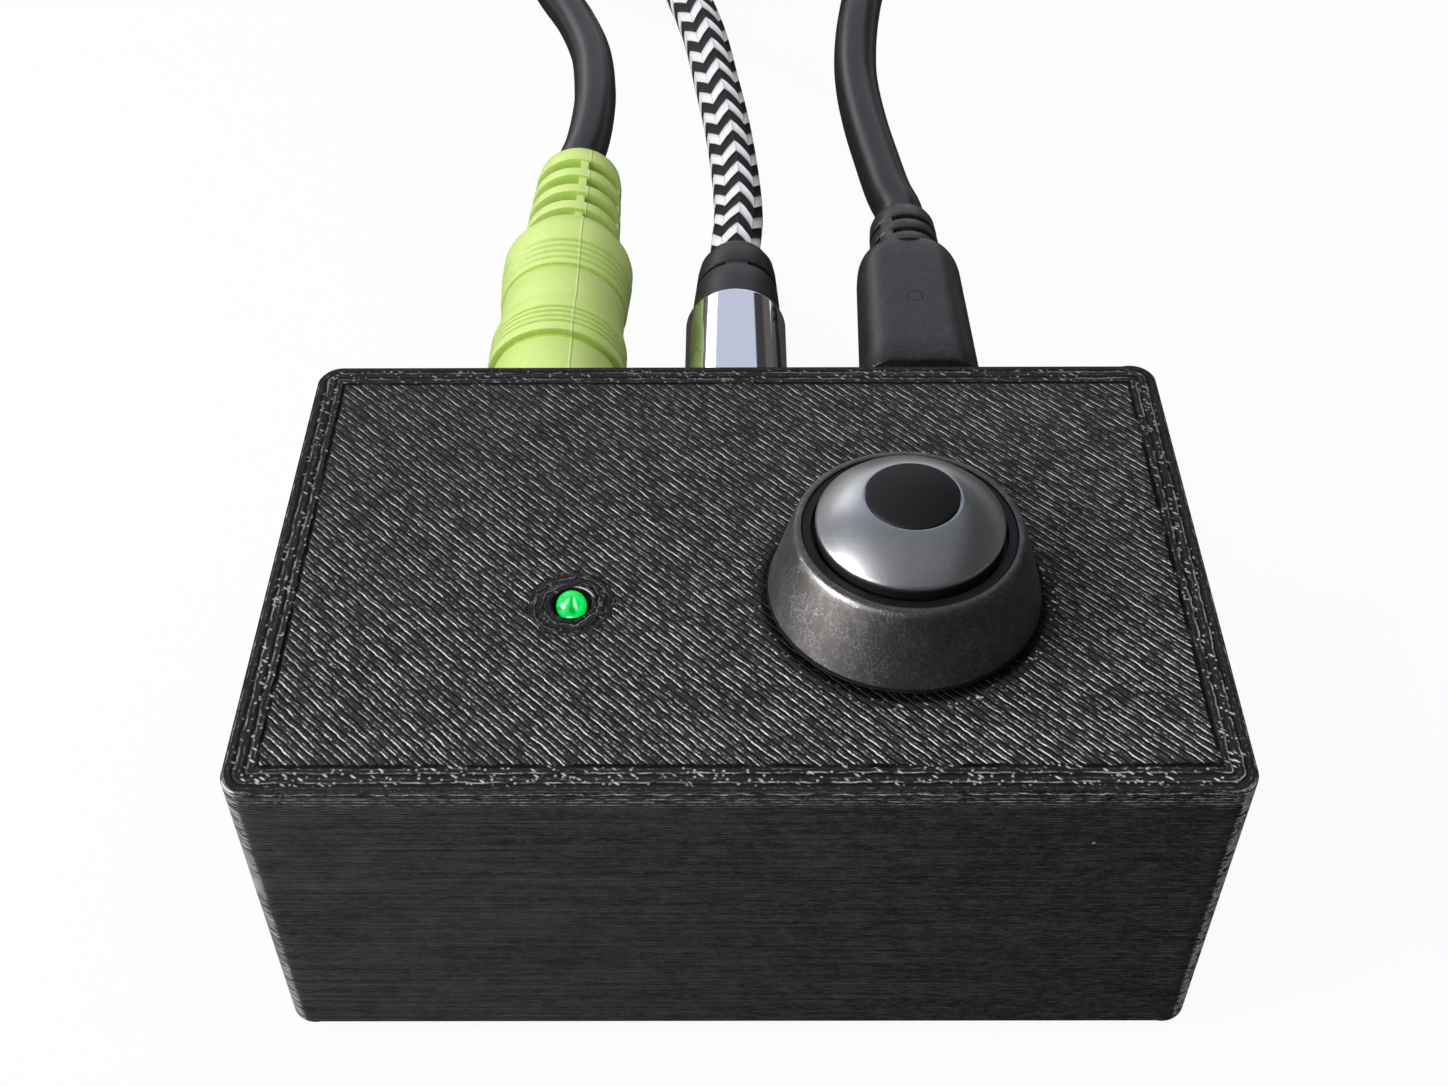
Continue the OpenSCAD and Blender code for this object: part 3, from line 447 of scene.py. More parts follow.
def whole_cord(name, start, offsets, thick, turns, k, begin, way, tail):
    coil = coil_line(turns, k, begin, way)
    lead = lead_line(start, coil[0] - Vector((0, WIDEST, 0)), offsets, thick)
    free = smooth_line([coil[-1] + Vector(p) for p in tail], 8)
    line, long = spaced(lead + coil + free, 0.8, 2.0, 130.0)
    sides = 24
    turn = [2 * math.pi * j / sides for j in range(sides)]
    points, along = [], [0.0]
    for i, p in enumerate(line):
        ahead = (line[min(i + 1, len(line) - 1)] - line[max(i - 1, 0)]).normalized()
        side = ahead.cross(Vector((0, 0, 1))).normalized()
        over = side.cross(ahead)
        points += [p + thick / 2 * (math.cos(a) * side + math.sin(a) * over) for a in turn]
        if i:
            along.append(along[-1] + (p - line[i - 1]).length)
    faces = tube_faces(len(line), sides)
    uv = [((j + next_side) / sides, along[i + next_row]) for i in range(len(line) - 1) for j in range(sides)
          for next_side, next_row in ((0, 0), (1, 0), (1, 1), (0, 1))]
    uv += [(0.0, 0.0)] * sides + [(0.0, along[-1])] * sides
    return piece(name, points, faces, "case", 50, uv), line, long


LIME_FROM, BRAID_FROM, USB_FROM = (-17.2, 65.1, 25.3), (0.0, 49.2, 25.3), (17.5, 56.3, 24.95)

lime_lead, lime_line, lime_long = whole_cord("lime_lead", LIME_FROM, [
    (0.7, 6.5, 0), (1.1, 12.5, 0), (1, 18, 0), (0.1, 26, 0), (-2.2, 34, 0), (-5.6, 42, 0.1), (-10.2, 55, 0.4),
    (-14, 72, 0.8), (-16.4, 92, 1)], 4.8, 4.75, 4, 180, -1, [
    (-WIDEST, 0, 0), (-12, 2, 1.6), (-18, 7, 4.6), (-21.5, 15, 7.6), (-22.5, 21, 9.2), (-22.5, 25, 9.4)])

braid_lead, braid_line, braid_long = whole_cord("braid_lead", BRAID_FROM, [
    (0.35, 8, 0), (0.05, 15.6, -0.005), (-0.85, 25, -0.025), (-2.12, 34, -0.05), (-3.52, 43, -0.08),
    (-5.6, 52, -0.09), (-8, 61, -0.04), (-11.5, 72, 0.14), (-16.5, 85, 0.48), (-23.5, 100, 0.8),
    (-30, 114, 0.96)], 5.2, 5, 0, 180, -1, [
    (0, WIDEST, 0), (-1.5, 11, -0.6), (-2, 17, -2.6), (-2, 22, -4.2), (-2, 26, -4.4)])

usb_lead, usb_line, usb_long = whole_cord("usb_lead", USB_FROM, [
    (-0.85, 6, 0), (-1.7, 12, 0), (-2.68, 20, -0.01), (-3.22, 28, -0.03), (-3.03, 35, -0.06),
    (-2.28, 42.4, -0.09), (-1, 50, -0.09), (1.2, 58, -0.02), (5.4, 71, 0.3), (10, 84, 0.65),
    (14.4, 100, 0.92)], 5.0, 5, 2, 0, 1, [
    (0, WIDEST, 0), (1.5, 10, -0.7), (3, 16, -3.5), (3.5, 25, -10), (1.5, 35, -15.2), (-3.5, 42, -16.6),
    (-8, 45.5, -16.7), (-12, 46.5, -16.7)])


# Printed case

HALF_WIDE, HALF_DEEP, CASE_TOP, CORNER_R = 37.5, 24.0, 32.5, 2.1
LED_AT, KNOB_AT = (-13.1, -5.4), (13.1, -4.3)


def printed_case_look():
    look, place = material("printed_case", (0.024, 0.024, 0.0245), 0.34, specular=0.1)
    x, y, z = look.apart(place)
    facing = look.coords("Normal")[2]
    top = look.times(look.step(facing, 0.75, 0.92), look.math("GREATER_THAN", z, CASE_TOP - 0.35))
    past_x = look.less(look.unsigned(x), HALF_WIDE - CORNER_R)
    past_y = look.less(look.unsigned(y), HALF_DEEP - CORNER_R)
    round_off = look.length(look.most(past_x, 0.0), look.most(past_y, 0.0))
    inward = look.less(look.less(CORNER_R, round_off), look.least(look.most(past_x, past_y), 0.0))
    corner = look.least(look.step(past_x, 0.5, 1.0), look.step(past_y, 0.5, 1.0))
    led_x, led_y = look.less(x, LED_AT[0]), look.less(y, LED_AT[1])
    from_led = look.length(led_x, led_y)
    from_knob = look.length(look.less(x, KNOB_AT[0]), look.less(y, KNOB_AT[1]))
    ragged = look.times(look.less(look.noise(place, 1.1, 3.0), 0.5), 0.8)
    border = look.math("LESS_THAN", look.plus(inward, ragged), 2.6)
    led_loops = look.math("LESS_THAN", look.scaled(ragged, 2.6, from_led), 3.5)
    knob_loops = look.math("LESS_THAN", look.plus(from_knob, ragged), 12.0)
    slant = look.times(look.plus(x, y), math.sqrt(0.5))
    run = look.times(look.less(x, y), math.sqrt(0.5))
    round_all = look.plus(x, y)
    down = look.times(z, -1.0)

    def rows(across, along, pitch, wander, width):
        return look.group(printed_beads, Across=across, Along=along, Place=place,
                          Pitch=pitch, Wander=wander, Width=width)

    skin_rows = rows(slant, run, 0.62, 0.19, 0.24)
    edge_rows = rows(inward, round_all, 0.87, 0.22, 0.2)
    loop_rows = rows(from_led, run, 0.7, 0.7, 0.22)
    wall_rows = rows(down, round_all, 0.29, 0.006, 0.5)
    rim_rows = rows(down, round_all, 0.34, 0.0, 0.34)
    dots = look.specks(place, 2.0, 0.25, 0.3)
    drawn_out = look.sized(look.turned(place, 35), (0.5, 1.5, 1.0))
    dashes = look.specks(drawn_out, 1.5, 0.2, 0.26)
    stray = look.times(look.most(look.times(dots, 0.45), look.times(dashes, 0.65)), look.step(inward, 0.6, 0.9))
    from_groove = look.off(look.scaled(ragged, 0.4, inward), 2.55)
    groove = look.times(look.step(from_groove, 0.24, 0.08), look.step(look.noise(place, 0.3), 0.38, 0.48))
    height = look.blend(border, skin_rows["Height"], look.times(edge_rows["Height"], 0.6))
    height = look.blend(led_loops, height, look.times(loop_rows["Height"], 0.5))
    # On the top, the bead flank lines and the stray dots and dashes near the border and round the knob are painted
    # highlights.
    painted_shine = look.blend(border, skin_rows["PaintedShine"], look.most(look.times(edge_rows["PaintedShine"], 0.4), stray))
    painted_shine = look.blend(knob_loops, painted_shine, stray)
    painted_shine = look.blend(led_loops, painted_shine, look.times(look.most(loop_rows["PaintedShine"], stray), 0.28))
    # Painted highlight: a thin bright arc on the upper right of the lens hole's lip.
    to_right = look.over(look.scaled(led_x, 0.6, look.times(led_y, 0.8)), from_led)
    lip = look.times(look.step(look.off(from_led, 1.86), 0.1, 0.03), look.step(to_right, 0.8, 0.97))
    painted_shine = look.most(painted_shine, look.times(lip, 0.8))
    grainy = look.grain(place, 5.0, 0.5)
    courses = look.noise(look.sized(place, (0.04, 0.04, 2.4)), 1.0, 4.0, 0.75)
    # The walls are darker in the creases between layers: painted shade.
    layers = look.times(grainy["Shade"], look.scaled(wall_rows["Height"], 1.15, 0.1))
    wall_tone = look.times(look.step(courses, 0.34, 0.66, 0.5, 1.5), layers)
    # Painted light: the walls go from bright at the left to dim at the right.
    wall_tone = look.times(wall_tone, look.step(x, -38.0, 38.0, 2.2, 0.85))
    high = look.step(z, 30.6, 31.6)
    # Painted highlights: bright lines on the wall's layer ridges, strongest on the upright corners and under the
    # top edge.
    painted_ridge_glints = look.times(wall_rows["PaintedShine"], look.most(0.5, look.times(corner, 2.6)), clamp=True)
    painted_ridge_glints = look.blend(high, painted_ridge_glints, look.most(rim_rows["PaintedShine"], look.times(painted_ridge_glints, corner)))
    wall = look.tint(painted_ridge_glints, look.shade((0.0235, 0.0235, 0.024), wall_tone),
                     look.tint(look.most(corner, high), (0.2, 0.2, 0.2), (0.8, 0.8, 0.8)))
    # The top is darker in the valleys between beads and in the groove inside the border: painted shade.
    top_tone = look.times(grainy["Shade"], look.scaled(height, 1.1, 0.1))
    top_tone = look.times(top_tone, look.step(groove, 0.0, 1.0, 1.0, 0.15))
    # Painted shadow: the case top goes near black under the knob's skirt and inside the lens hole.
    painted_shadow_near_knob_and_lens = look.least(look.step(from_knob, 11.1, 11.55), look.step(from_led, 1.58, 1.78))
    painted_shine = look.times(painted_shine, look.step(groove, 0.2, 0.7, 0.95, 0.0))
    # Painted light: the top's bright lines are brighter at the front than at the back, and a little brighter to
    # the right.
    painted_light = look.times(look.step(y, -24.0, 24.0, 1.4, 0.74), look.step(x, -37.0, 37.0, 0.9, 1.03))
    ground = look.shade((0.025, 0.025, 0.0258), top_tone)
    printed = look.tint(look.times(painted_shine, painted_light, clamp=True), ground, (0.78, 0.78, 0.785))
    specks = look.specks(place, 0.42, 0.945)
    colour = look.tint(look.times(specks, 0.8), look.tint(top, wall, printed), (0.6, 0.6, 0.6))
    bump_top = look.scaled(grainy["Height"], 0.03, look.times(height, 0.17))
    bump_top = look.scaled(look.times(stray, border), 0.05, bump_top)
    bump_top = look.scaled(groove, -0.15, bump_top)
    bump_wall = look.scaled(grainy["Height"], 0.008, look.times(wall_rows["Height"], 0.085))
    return look.surface(look.shade(colour, look.scaled(painted_shadow_near_knob_and_lens, 0.94, 0.06)), look.scaled(grainy["Height"], 0.2, 0.6),
                        look.blend(top, bump_wall, bump_top))


def dress(look, *names):
    for name in names:
        slots = cad[name].data.materials
        if len(slots):
            for i in range(len(slots)):
                slots[i] = look
        else:
            slots.append(look)


def finish(made, look, slot, *nodes):
    """Gives a piece its material and lets it stand for CAD nodes; the slot is not used."""
    made.data.materials.append(look)
    if nodes:
        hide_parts(*nodes)
    return made


dress(printed_case_look(), "case_shell", "base_plate")


# Knob

def skirt_look():
    look, place = material("skirt_blasted_nickel", (0.118, 0.112, 0.107), 0.55, metal=1.0)
    hairs = look.hairs(place, 4.5)
    grainy = look.grain(place, 11.0, 0.2)
    specks = look.specks(place, 1.7, 0.86, 0.09)
    pale = look.most(look.times(hairs["Lines"], 0.5), specks)
    tone = look.shade((0.118, 0.112, 0.107), grainy["Shade"])
    return look.surface(look.tint(pale, tone, (0.36, 0.35, 0.34)), look.scaled(hairs["Grain"], 0.1, 0.37),
                        look.scaled(pale, 0.008, look.times(grainy["Height"], 0.01)))


def dome_look():
    look, place = material("dome_satin_silver", (0.42, 0.425, 0.435), 0.34, metal=1.0)
    hairs = look.hairs(place, 3.4)
    grainy = look.grain(place, 16.0, 0.08)
    tone = look.shade((0.42, 0.425, 0.435), grainy["Shade"])
    return look.surface(look.tint(look.times(hairs["Lines"], 0.25), tone, (0.66, 0.665, 0.68)),
                        look.scaled(hairs["Grain"], 0.1, 0.28),
                        look.scaled(hairs["Lines"], -0.0014, look.times(grainy["Height"], 0.0007)))


knob_place = Matrix.Translation((*KNOB_AT, 0))
RIM_Z, EDGE_Z, FOOT_Z = 39.7, 40.5, 33.1
skirt = turned("skirt_cover", eased([
    (9.95, FOOT_Z + 0.06), (10.66, FOOT_Z + 0.06), (10.74, FOOT_Z + 0.2), (9.13, RIM_Z - 0.75),
    (8.99, RIM_Z - 0.36), (8.81, RIM_Z - 0.1), (8.59, RIM_Z), (8.25, RIM_Z), (8.25, RIM_Z - 0.6)], 0.3),
    knob_place, "knob", 160, 60, True)
finish(skirt, skirt_look(), "skirt_metal", "knob_skirt")
knob_black = moulded("knob_ring_black", (0.006, 0.006, 0.0062), 0.5, grain=16.0, depth=0.003, specular=0.25,
                     edge=0.12)
# A black foot ring under the skirt, its material as dark as the shadow in the gap between knob and case top:
# partly a real ring, partly painted shadow.
foot_ring = turned("skirt_foot_ring", eased([
    (9.95, FOOT_Z - 0.16), (10.7, FOOT_Z - 0.16), (10.84, FOOT_Z - 0.1), (10.84, FOOT_Z + 0.02),
    (10.7, FOOT_Z + 0.1), (9.95, FOOT_Z + 0.1)], 0.04), knob_place, "knob", 160, 60, True)
foot_ring_shadow_black = moulded("foot_ring_black_as_shadow", (0.004, 0.004, 0.004), 0.7, grain=16.0, depth=0.003, specular=0.12,
                     edge=0.1)
finish(foot_ring, foot_ring_shadow_black, "knob_black")

DOME_R, DOME_EDGE = 9.6, 7.25
DOME_Z = EDGE_Z - math.sqrt(DOME_R ** 2 - DOME_EDGE ** 2)


def dome_point(r):
    return (r, DOME_Z + math.sqrt(DOME_R ** 2 - r * r))


dome = turned("dome_cap", [
    (7.0, EDGE_Z - 0.3), (7.2, EDGE_Z - 0.28), (DOME_EDGE, EDGE_Z - 0.18), (7.24, EDGE_Z - 0.06),
    *(dome_point(7.2 - 0.14 * i) for i in range(26)), (3.63, dome_point(3.63)[1] - 0.04), (3.6, 42.9)],
    knob_place, "knob", 160, 50)
finish(dome, dome_look(), "dome_metal", "knob_dome")
disc = turned("dome_disc", [(3.55, 42.9), (3.55, dome_point(3.55)[1] - 0.03), (3.5, dome_point(3.5)[1])]
              + [dome_point(3.5 - 0.25 * i) for i in range(1, 14)] + [(0.05, dome_point(0.05)[1])],
              knob_place, "knob", 128, 50)
disc_black = moulded("disc_matte_black", (0.006, 0.006, 0.0063), 0.6, grain=14.0, depth=0.004, specular=0.25,
                     edge=0.05)
finish(disc, disc_black, "knob_black", "dome_inlay")
dress(knob_black, "knob_core")


# Status light

LENS_Z, LENS_R = 32.28, 1.2


def light_look():
    """A glowing lens, painted with light and shade: two pale flames of painted reflection over a dark wedge of
    painted shade, and a painted highlight at the front edge.
    """
    look, place = material("light_green_lens", (0.0, 0.06, 0.012), 0.3,
                           **{"Emission Strength": 1.0})
    x, y, z = look.apart(look.vector("SUBTRACT", place, (*LED_AT, LENS_Z)))
    rise = look.times(look.plus(y, z), math.sqrt(0.5))

    def patch(at_x, at_rise, wide, tall, lean):
        off = look.less(rise, at_rise)
        dx = look.scaled(off, lean, look.less(x, at_x))
        far = look.length(look.over(dx, wide), look.over(off, tall))
        return look.step(far, 1.15, 0.45)

    cloud = look.noise(place, 2.2, 2.0)
    colour = look.tint(look.step(cloud, 0.4, 0.7), (0.0, 0.72, 0.09), (0.01, 0.86, 0.2))
    dark, bright = (0.0, 0.28, 0.015), (0.42, 0.97, 0.55)
    # Dark patches are painted shade and pale ones painted reflections inside the lens.
    for share, tone, where in (
            (0.8, dark, (0.12, -0.3, 0.3, 0.42, 0.25)), (0.8, dark, (-0.8, -0.2, 0.42, 0.2, -0.4)),
            (0.8, dark, (0.1, 0.3, 0.12, 0.6, 0.0)), (0.75, bright, (-0.32, 0.3, 0.2, 0.42, -0.45)),
            (0.75, bright, (0.36, 0.2, 0.17, 0.6, 0.25)), (0.75, bright, (-0.1, -0.9, 0.3, 0.14, 0.0))):
        colour = look.tint(look.times(patch(*where), share), colour, tone)
    # Painted shade round the rim of the lens.
    colour = look.tint(look.step(look.length(x, rise), 1.0, 1.2, 0.0, 0.6), colour, (0.0, 0.5, 0.05))
    # Painted shade: the glow goes dim below the case top, inside the hole.
    look.feed(look.shader["Emission Color"], look.shade(colour, look.step(z, -0.84, -0.76, 0.02, 1.0)))
    return look.made


lens = turned("light_lens", [
    (1.9, 29.2), (1.9, 30.2), (1.45, 30.2), (0.86, 31.2), (0.88, 31.4), *arc(0, LENS_Z, LENS_R, range(-42, 90, 6)),
    (0.02, LENS_Z + LENS_R)], Matrix.Translation((*LED_AT, 0)), "case", 64, 50)
finish(lens, light_look(), "led_green", "led_lens")


# Speaker plug

SPEAKER_AT, PLAYER_AT, USB_AT = (-17.2, 24.5, 25.3), (0, 24.5, 25.3), (17.58, 22.2, 24.95)
SEAM_X = -15.3


def lime_look():
    look, place = material("lime_soft_moulding", (0.66, 0.84, 0.25), 0.45, specular=0.28)
    grainy = look.grain(place, 5.0, 0.07)
    hairs = look.hairs(place, 1.2)
    edges = look.edges(0.12)
    x = look.apart(place)[0]
    cut = look.coords("UV")[0]
    seam = look.step(look.off(x, SEAM_X), 0.14, 0.04)
    # Painted shade: the lime goes deep green in the slots and grooves, by the UV share.
    tone = look.tint(cut, look.shade((0.66, 0.84, 0.25), grainy["Shade"]), (0.36, 0.56, 0.03))
    # Pale rubbed edges, seam and hairlines; on the ring crests the paler edges are also a painted highlight.
    pale = look.most(look.times(edges["Edge"], 0.5), look.times(look.most(seam, hairs["Lines"]), 0.25))
    return look.surface(look.tint(pale, tone, (0.86, 0.96, 0.5)), look.scaled(grainy["Height"], 0.2, 0.36),
                        look.scaled(seam, 0.06, look.times(grainy["Height"], 0.01)), edges["Normal"])


def grooved(start, end, grooves, wide, deep):
    """A straight stretch of a profile, with round-bottomed grooves cut across it."""
    (r0, s0), (r1, s1) = start, end
    line = [start]
    for s in grooves:
        for at, cut in ((-0.5, 0.0), (-0.3, 0.75), (0.0, 1.0), (0.3, 0.75), (0.5, 0.0)):
            here = s + at * wide
            line.append((r0 + (r1 - r0) * (here - s0) / (s1 - s0) - cut * deep, here))
    return line + [end]


def slotted(name, profile, slots, core, ribs, place, sides=96, lean=0.0):
    """A bend relief: a turned profile with slots cut to a core, except at ribs.

    A slot is (start, end); a rib is (angle, half its angle, radius or None for the profile's own).
    """
    edges = sorted(((a + s * h) % 360) for a, h, _ in ribs for s in (-1, 1))
    angles = [360 * k / sides for k in range(sides)]
    angles = [a for a in angles if all(abs((a - e + 180) % 360 - 180) > 1.2 for e in edges)]
    angles = sorted(angles + [e + d for e in edges for d in (-0.15, 0.15)])

    def full(s):
        for (r0, s0), (r1, s1) in zip(profile, profile[1:]):
            if s0 <= s <= s1 and s1 > s0:
                return r0 + (r1 - r0) * (s - s0) / (s1 - s0)
        return profile[-1][0]

    def kept(a, r):
        for at, half, reach in ribs:
            if abs((a - at + 180) % 360 - 180) < half:
                return r if reach is None else min(r, reach)
        return core

    stations = []
    for r, s in profile:
        if not any(start - 0.1 < s < end + 0.1 for start, end in slots):
            stations.append((s, r, False))
    for start, end in slots:
        lip = 0.1
        stations += [(start - lip, full(start - lip), False),
                     (start - 0.3 * lip, full(start) - 0.25 * lip, False),
                     (start, full(start) - lip, False), (start + 0.001, full(start) - lip, True),
                     (end - 0.001, full(end) - lip, True), (end, full(end) - lip, False),
                     (end + 0.3 * lip, full(end) - 0.25 * lip, False), (end + lip, full(end + lip), False)]
    stations.sort(key=lambda row: row[0])
    rows = [(s, [kept(a, r) if cut else r for a in angles]) for s, r, cut in stations]

    # Painted shade: slot floors and the bottoms of grooves and steps get a darker share.
    def groove(s, r):
        nearby = max(q for t, q, cut in stations if abs(t - s) < 0.4 and not cut)
        return min(0.75, 2.5 * max(0.0, nearby - r - 0.06))

    painted_shade_cuts = [[1.0 if cut and q == core else 0.0 if cut else groove(s, r) for q in radii]
            for (_, radii), (s, r, cut) in zip(rows, stations)]
    return skin(name, rows, [math.radians(a) for a in angles], place, "case", 38, lean, painted_shade_cuts)


LIME_PROFILE = ([(5.68, 0), (6.08, 0.4), (6.08, 5.2), (5.92, 5.42), (5.95, 5.66), (6.4, 5.7), (6.6, 5.74)]
                + grooved((6.64, 5.85), (6.6, 9.9), [6.95, 7.68, 8.42, 9.12], 0.4, 0.3)
                + [(6.4, 11), (6.1, 11.9), (6.08, 12.4), (6.08, 16.05), (5.92, 16.27), (5.98, 16.5),
                   (6.25, 16.55)]
                + grooved((6.3, 16.7), (6.58, 21.2), [17.35, 18.22, 19.08, 19.95], 0.46, 0.3)
                + [(6.57, 22.9), (6.38, 23.7), (6.05, 24.4), (5.65, 25.2), (5.35, 25.8), (5.05, 25.9),
                   (4.55, 38.4), (4.35, 39.6), (3.8, 40.3), (3.2, 40.6), (2.6, 40.6)])
lime_moulding = lime_look()


def lime_plug(name, place, *nodes):
    slots = [(25.9 + 3.17 * i, 27.65 + 3.17 * i) for i in range(4)]
    ribs = [(0, 9, None), (180, 9, None), (97, 5.6, 4.4), (283, 5.6, 4.4)]
    made = slotted(name, LIME_PROFILE, slots, 3.2, ribs, place, lean=0.38)
    return finish(made, lime_moulding, "lime_plastic", *nodes)


lime_plug("speaker_plug_moulding", behind(*SPEAKER_AT), "lime_plug")
lime_end = lime_plug("speaker_end_moulding", on_end(lime_line[-1], 90, 40.6), "lime_end_plug")


# Player plug

def chrome_look():
    look, place = material("barrel_chrome", (0.88, 0.885, 0.9), 0.07, metal=1.0)
    hairs = look.hairs(place, 2.0)
    tone = look.scaled(hairs["Grain"], 0.08, 0.95)
    return look.surface(look.shade((0.88, 0.885, 0.9), tone), look.scaled(hairs["Grain"], 0.08, 0.03),
                        look.times(hairs["Lines"], -0.0004))


chrome = chrome_look()
boot_rubber = moulded("boot_rubber_black", (0.012, 0.012, 0.0123), 0.42, grain=7.0, depth=0.014,
                      specular=0.45, edge=0.1)
BARREL = [*eased([(4.2, 0), (4.6, 0), (4.9, 0.3), (4.9, 13.8)], 0.2),
          *arc(4.4, 13.8, 0.5, range(10, 91, 10)), (4.3, 14.28), (4.28, 13.5)]
BOOT = [(3.65, 11.3), (3.65, 14.24), (4.3, 14.26), (4.4, 14.32), (4.3, 17.0), (4.1, 19.7), (3.95, 21.8),
        (3.75, 23.1), (3.3, 24.1), (2.7, 24.7)]


def player_plug(name, place, shell, boot):
    barrel = finish(turned(name + "_barrel", BARREL, place, "case", 160, 45), chrome, "plug_chrome", shell)
    ribs = [(90, 16.5, None), (270, 16.5, None)]
    sleeve = slotted(name + "_boot", BOOT, [(19.2, 19.75)], 3.2, ribs, place, lean=0.45)
    return barrel, finish(sleeve, boot_rubber, "boot_black", boot)


player_plug("player_plug", behind(*PLAYER_AT), "chrome_shell", "chrome_boot")
chrome_end = player_plug("player_end", on_end(braid_line[-1], 90, 24.7), "chrome_end_shell", "chrome_end_boot")


# USB plugs

MARK_AT, MARK_R = (17.6, 39.1), 0.75


def usb_look():
    """Matte moulding, with a plain round mould mark on top."""
    look, place = material("usb_matte_moulding", (0.013, 0.013, 0.0133), 0.42, specular=0.5)
    grainy = look.grain(place, 7.0, 0.3)
    hairs = look.hairs(place, 1.6)
    x, y, z = look.apart(place)
    around = look.length(look.less(x, MARK_AT[0]), look.less(y, MARK_AT[1]))
    mark = look.times(look.step(look.off(around, MARK_R), 0.16, 0.05),
                      look.math("GREATER_THAN", z, 27.0))
    edges = look.edges(0.15)
    tone = look.shade((0.013, 0.013, 0.0133), grainy["Shade"])
    pale = look.most(look.times(hairs["Lines"], 0.4), look.times(edges["Edge"], 0.8))
    colour = look.tint(pale, tone, (0.07, 0.07, 0.072))
    return look.surface(look.tint(look.times(mark, 0.7), colour, (0.003, 0.003, 0.003)),
                        look.scaled(grainy["Height"], 0.2, 0.26),
                        look.scaled(mark, -0.06, look.times(grainy["Height"], 0.02)), edges["Normal"])


def lofted(name, sections, place, corner=10):
    """A moulding through rounded sections of (height, width, depth, corner radius)."""
    points = []
    for s, w, h, r in sections:
        for cx, cy, begin in ((1, 1, 0), (-1, 1, 90), (-1, -1, 180), (1, -1, 270)):
            for i in range(corner + 1):
                a = math.radians(begin + 90 * i / corner)
                x, y = cx * (w / 2 - r) + r * math.cos(a), cy * (h / 2 - r) + r * math.sin(a)
                points.append(place @ Vector((x, y, s)))
    return piece(name, points, tube_faces(len(sections), 4 * (corner + 1)), "case", 45)


usb_moulding = usb_look()


def usb_sections(w, h, r, start, long):
    rows = [(start, w - 0.5, h - 0.5, r - 0.25), (start + 0.09, w - 0.22, h - 0.22, r - 0.11),
            (start + 0.3, w, h, r)]
    for i in range(1, 6):
        t = i / 5
        rows.append((start + 0.3 + (long - 4.3) * t, w - t, h - 0.5 * t, r - 0.3 * t))
    for i in range(1, 9):
        a = math.radians(90 * i / 8)
        fall = 1 - math.cos(a)
        rows.append((start + long - 4 + 4 * math.sin(a), w - 1 - 3.0 * fall, h - 0.5 - 0.5 * fall,
                     r - 0.3 - 0.3 * fall))
    return rows


def usb_relief(name, start, place):
    profile = [(r, start + s) for r, s in (
        (3.7, -0.4), (3.7, 0.0), (3.5, 4.6), (3.4, 5.9), (3.18, 6.5), (2.75, 6.9))]
    slots = [(start + 0.9, start + 1.7), (start + 3.2, start + 4.0)]
    ribs = [(53.5, 12.5, None), (233.5, 12.5, None)]
    return finish(slotted(name, profile, slots, 2.6, ribs, place, lean=0.02), usb_moulding, "usb_black")


usb_place = behind(*USB_AT)
neck = [(0, 8.6, 4.9, 0.4), (0.1, 8.8, 5.1, 0.4), (7.3, 8.8, 5.1, 0.4)]
usb_body = lofted("usb_plug_moulding", usb_sections(11.5, 7.8, 3.4, 7.2, 20), usb_place)
finish(usb_body, usb_moulding, "usb_black", "usb_plug")
finish(lofted("usb_plug_neck", neck, usb_place, 4), usb_moulding, "usb_black")
usb_relief("usb_plug_relief", 27.2, usb_place)
usb_end_place = on_end(usb_line[-1], 180, 33)
usb_end = lofted("usb_end_moulding", usb_sections(15.8, 8.2, 2.4, 0, 26.1), usb_end_place)
finish(usb_end, usb_moulding, "usb_black", "usb_end_plug")
usb_end_relief = usb_relief("usb_end_relief", 26.1, usb_end_place)


# Cord jackets

def jacket_look(name, colour, rough):
    look, place = material(name, (colour,) * 3, rough, specular=0.5)
    grainy = look.grain(place, 3.5, 0.3)
    u, v, _ = look.coords("UV")
    streak = look.noise(look.together(look.times(u, 40.0), look.times(v, 0.12), 0.0), 1.0, 3.0, 0.6)
    drawn_out = look.sized(place, (1.0, 0.5, 1.0))
    nicks = look.specks(drawn_out, 0.8, 0.8, 0.07)
    tone = look.shade((colour,) * 3, grainy["Shade"])
    return look.surface(look.tint(look.times(nicks, 0.5), tone, (0.1, 0.1, 0.1)),
                        look.scaled(streak, 0.2, rough - 0.1),
                        look.scaled(grainy["Height"], 0.006, look.times(streak, 0.008)))


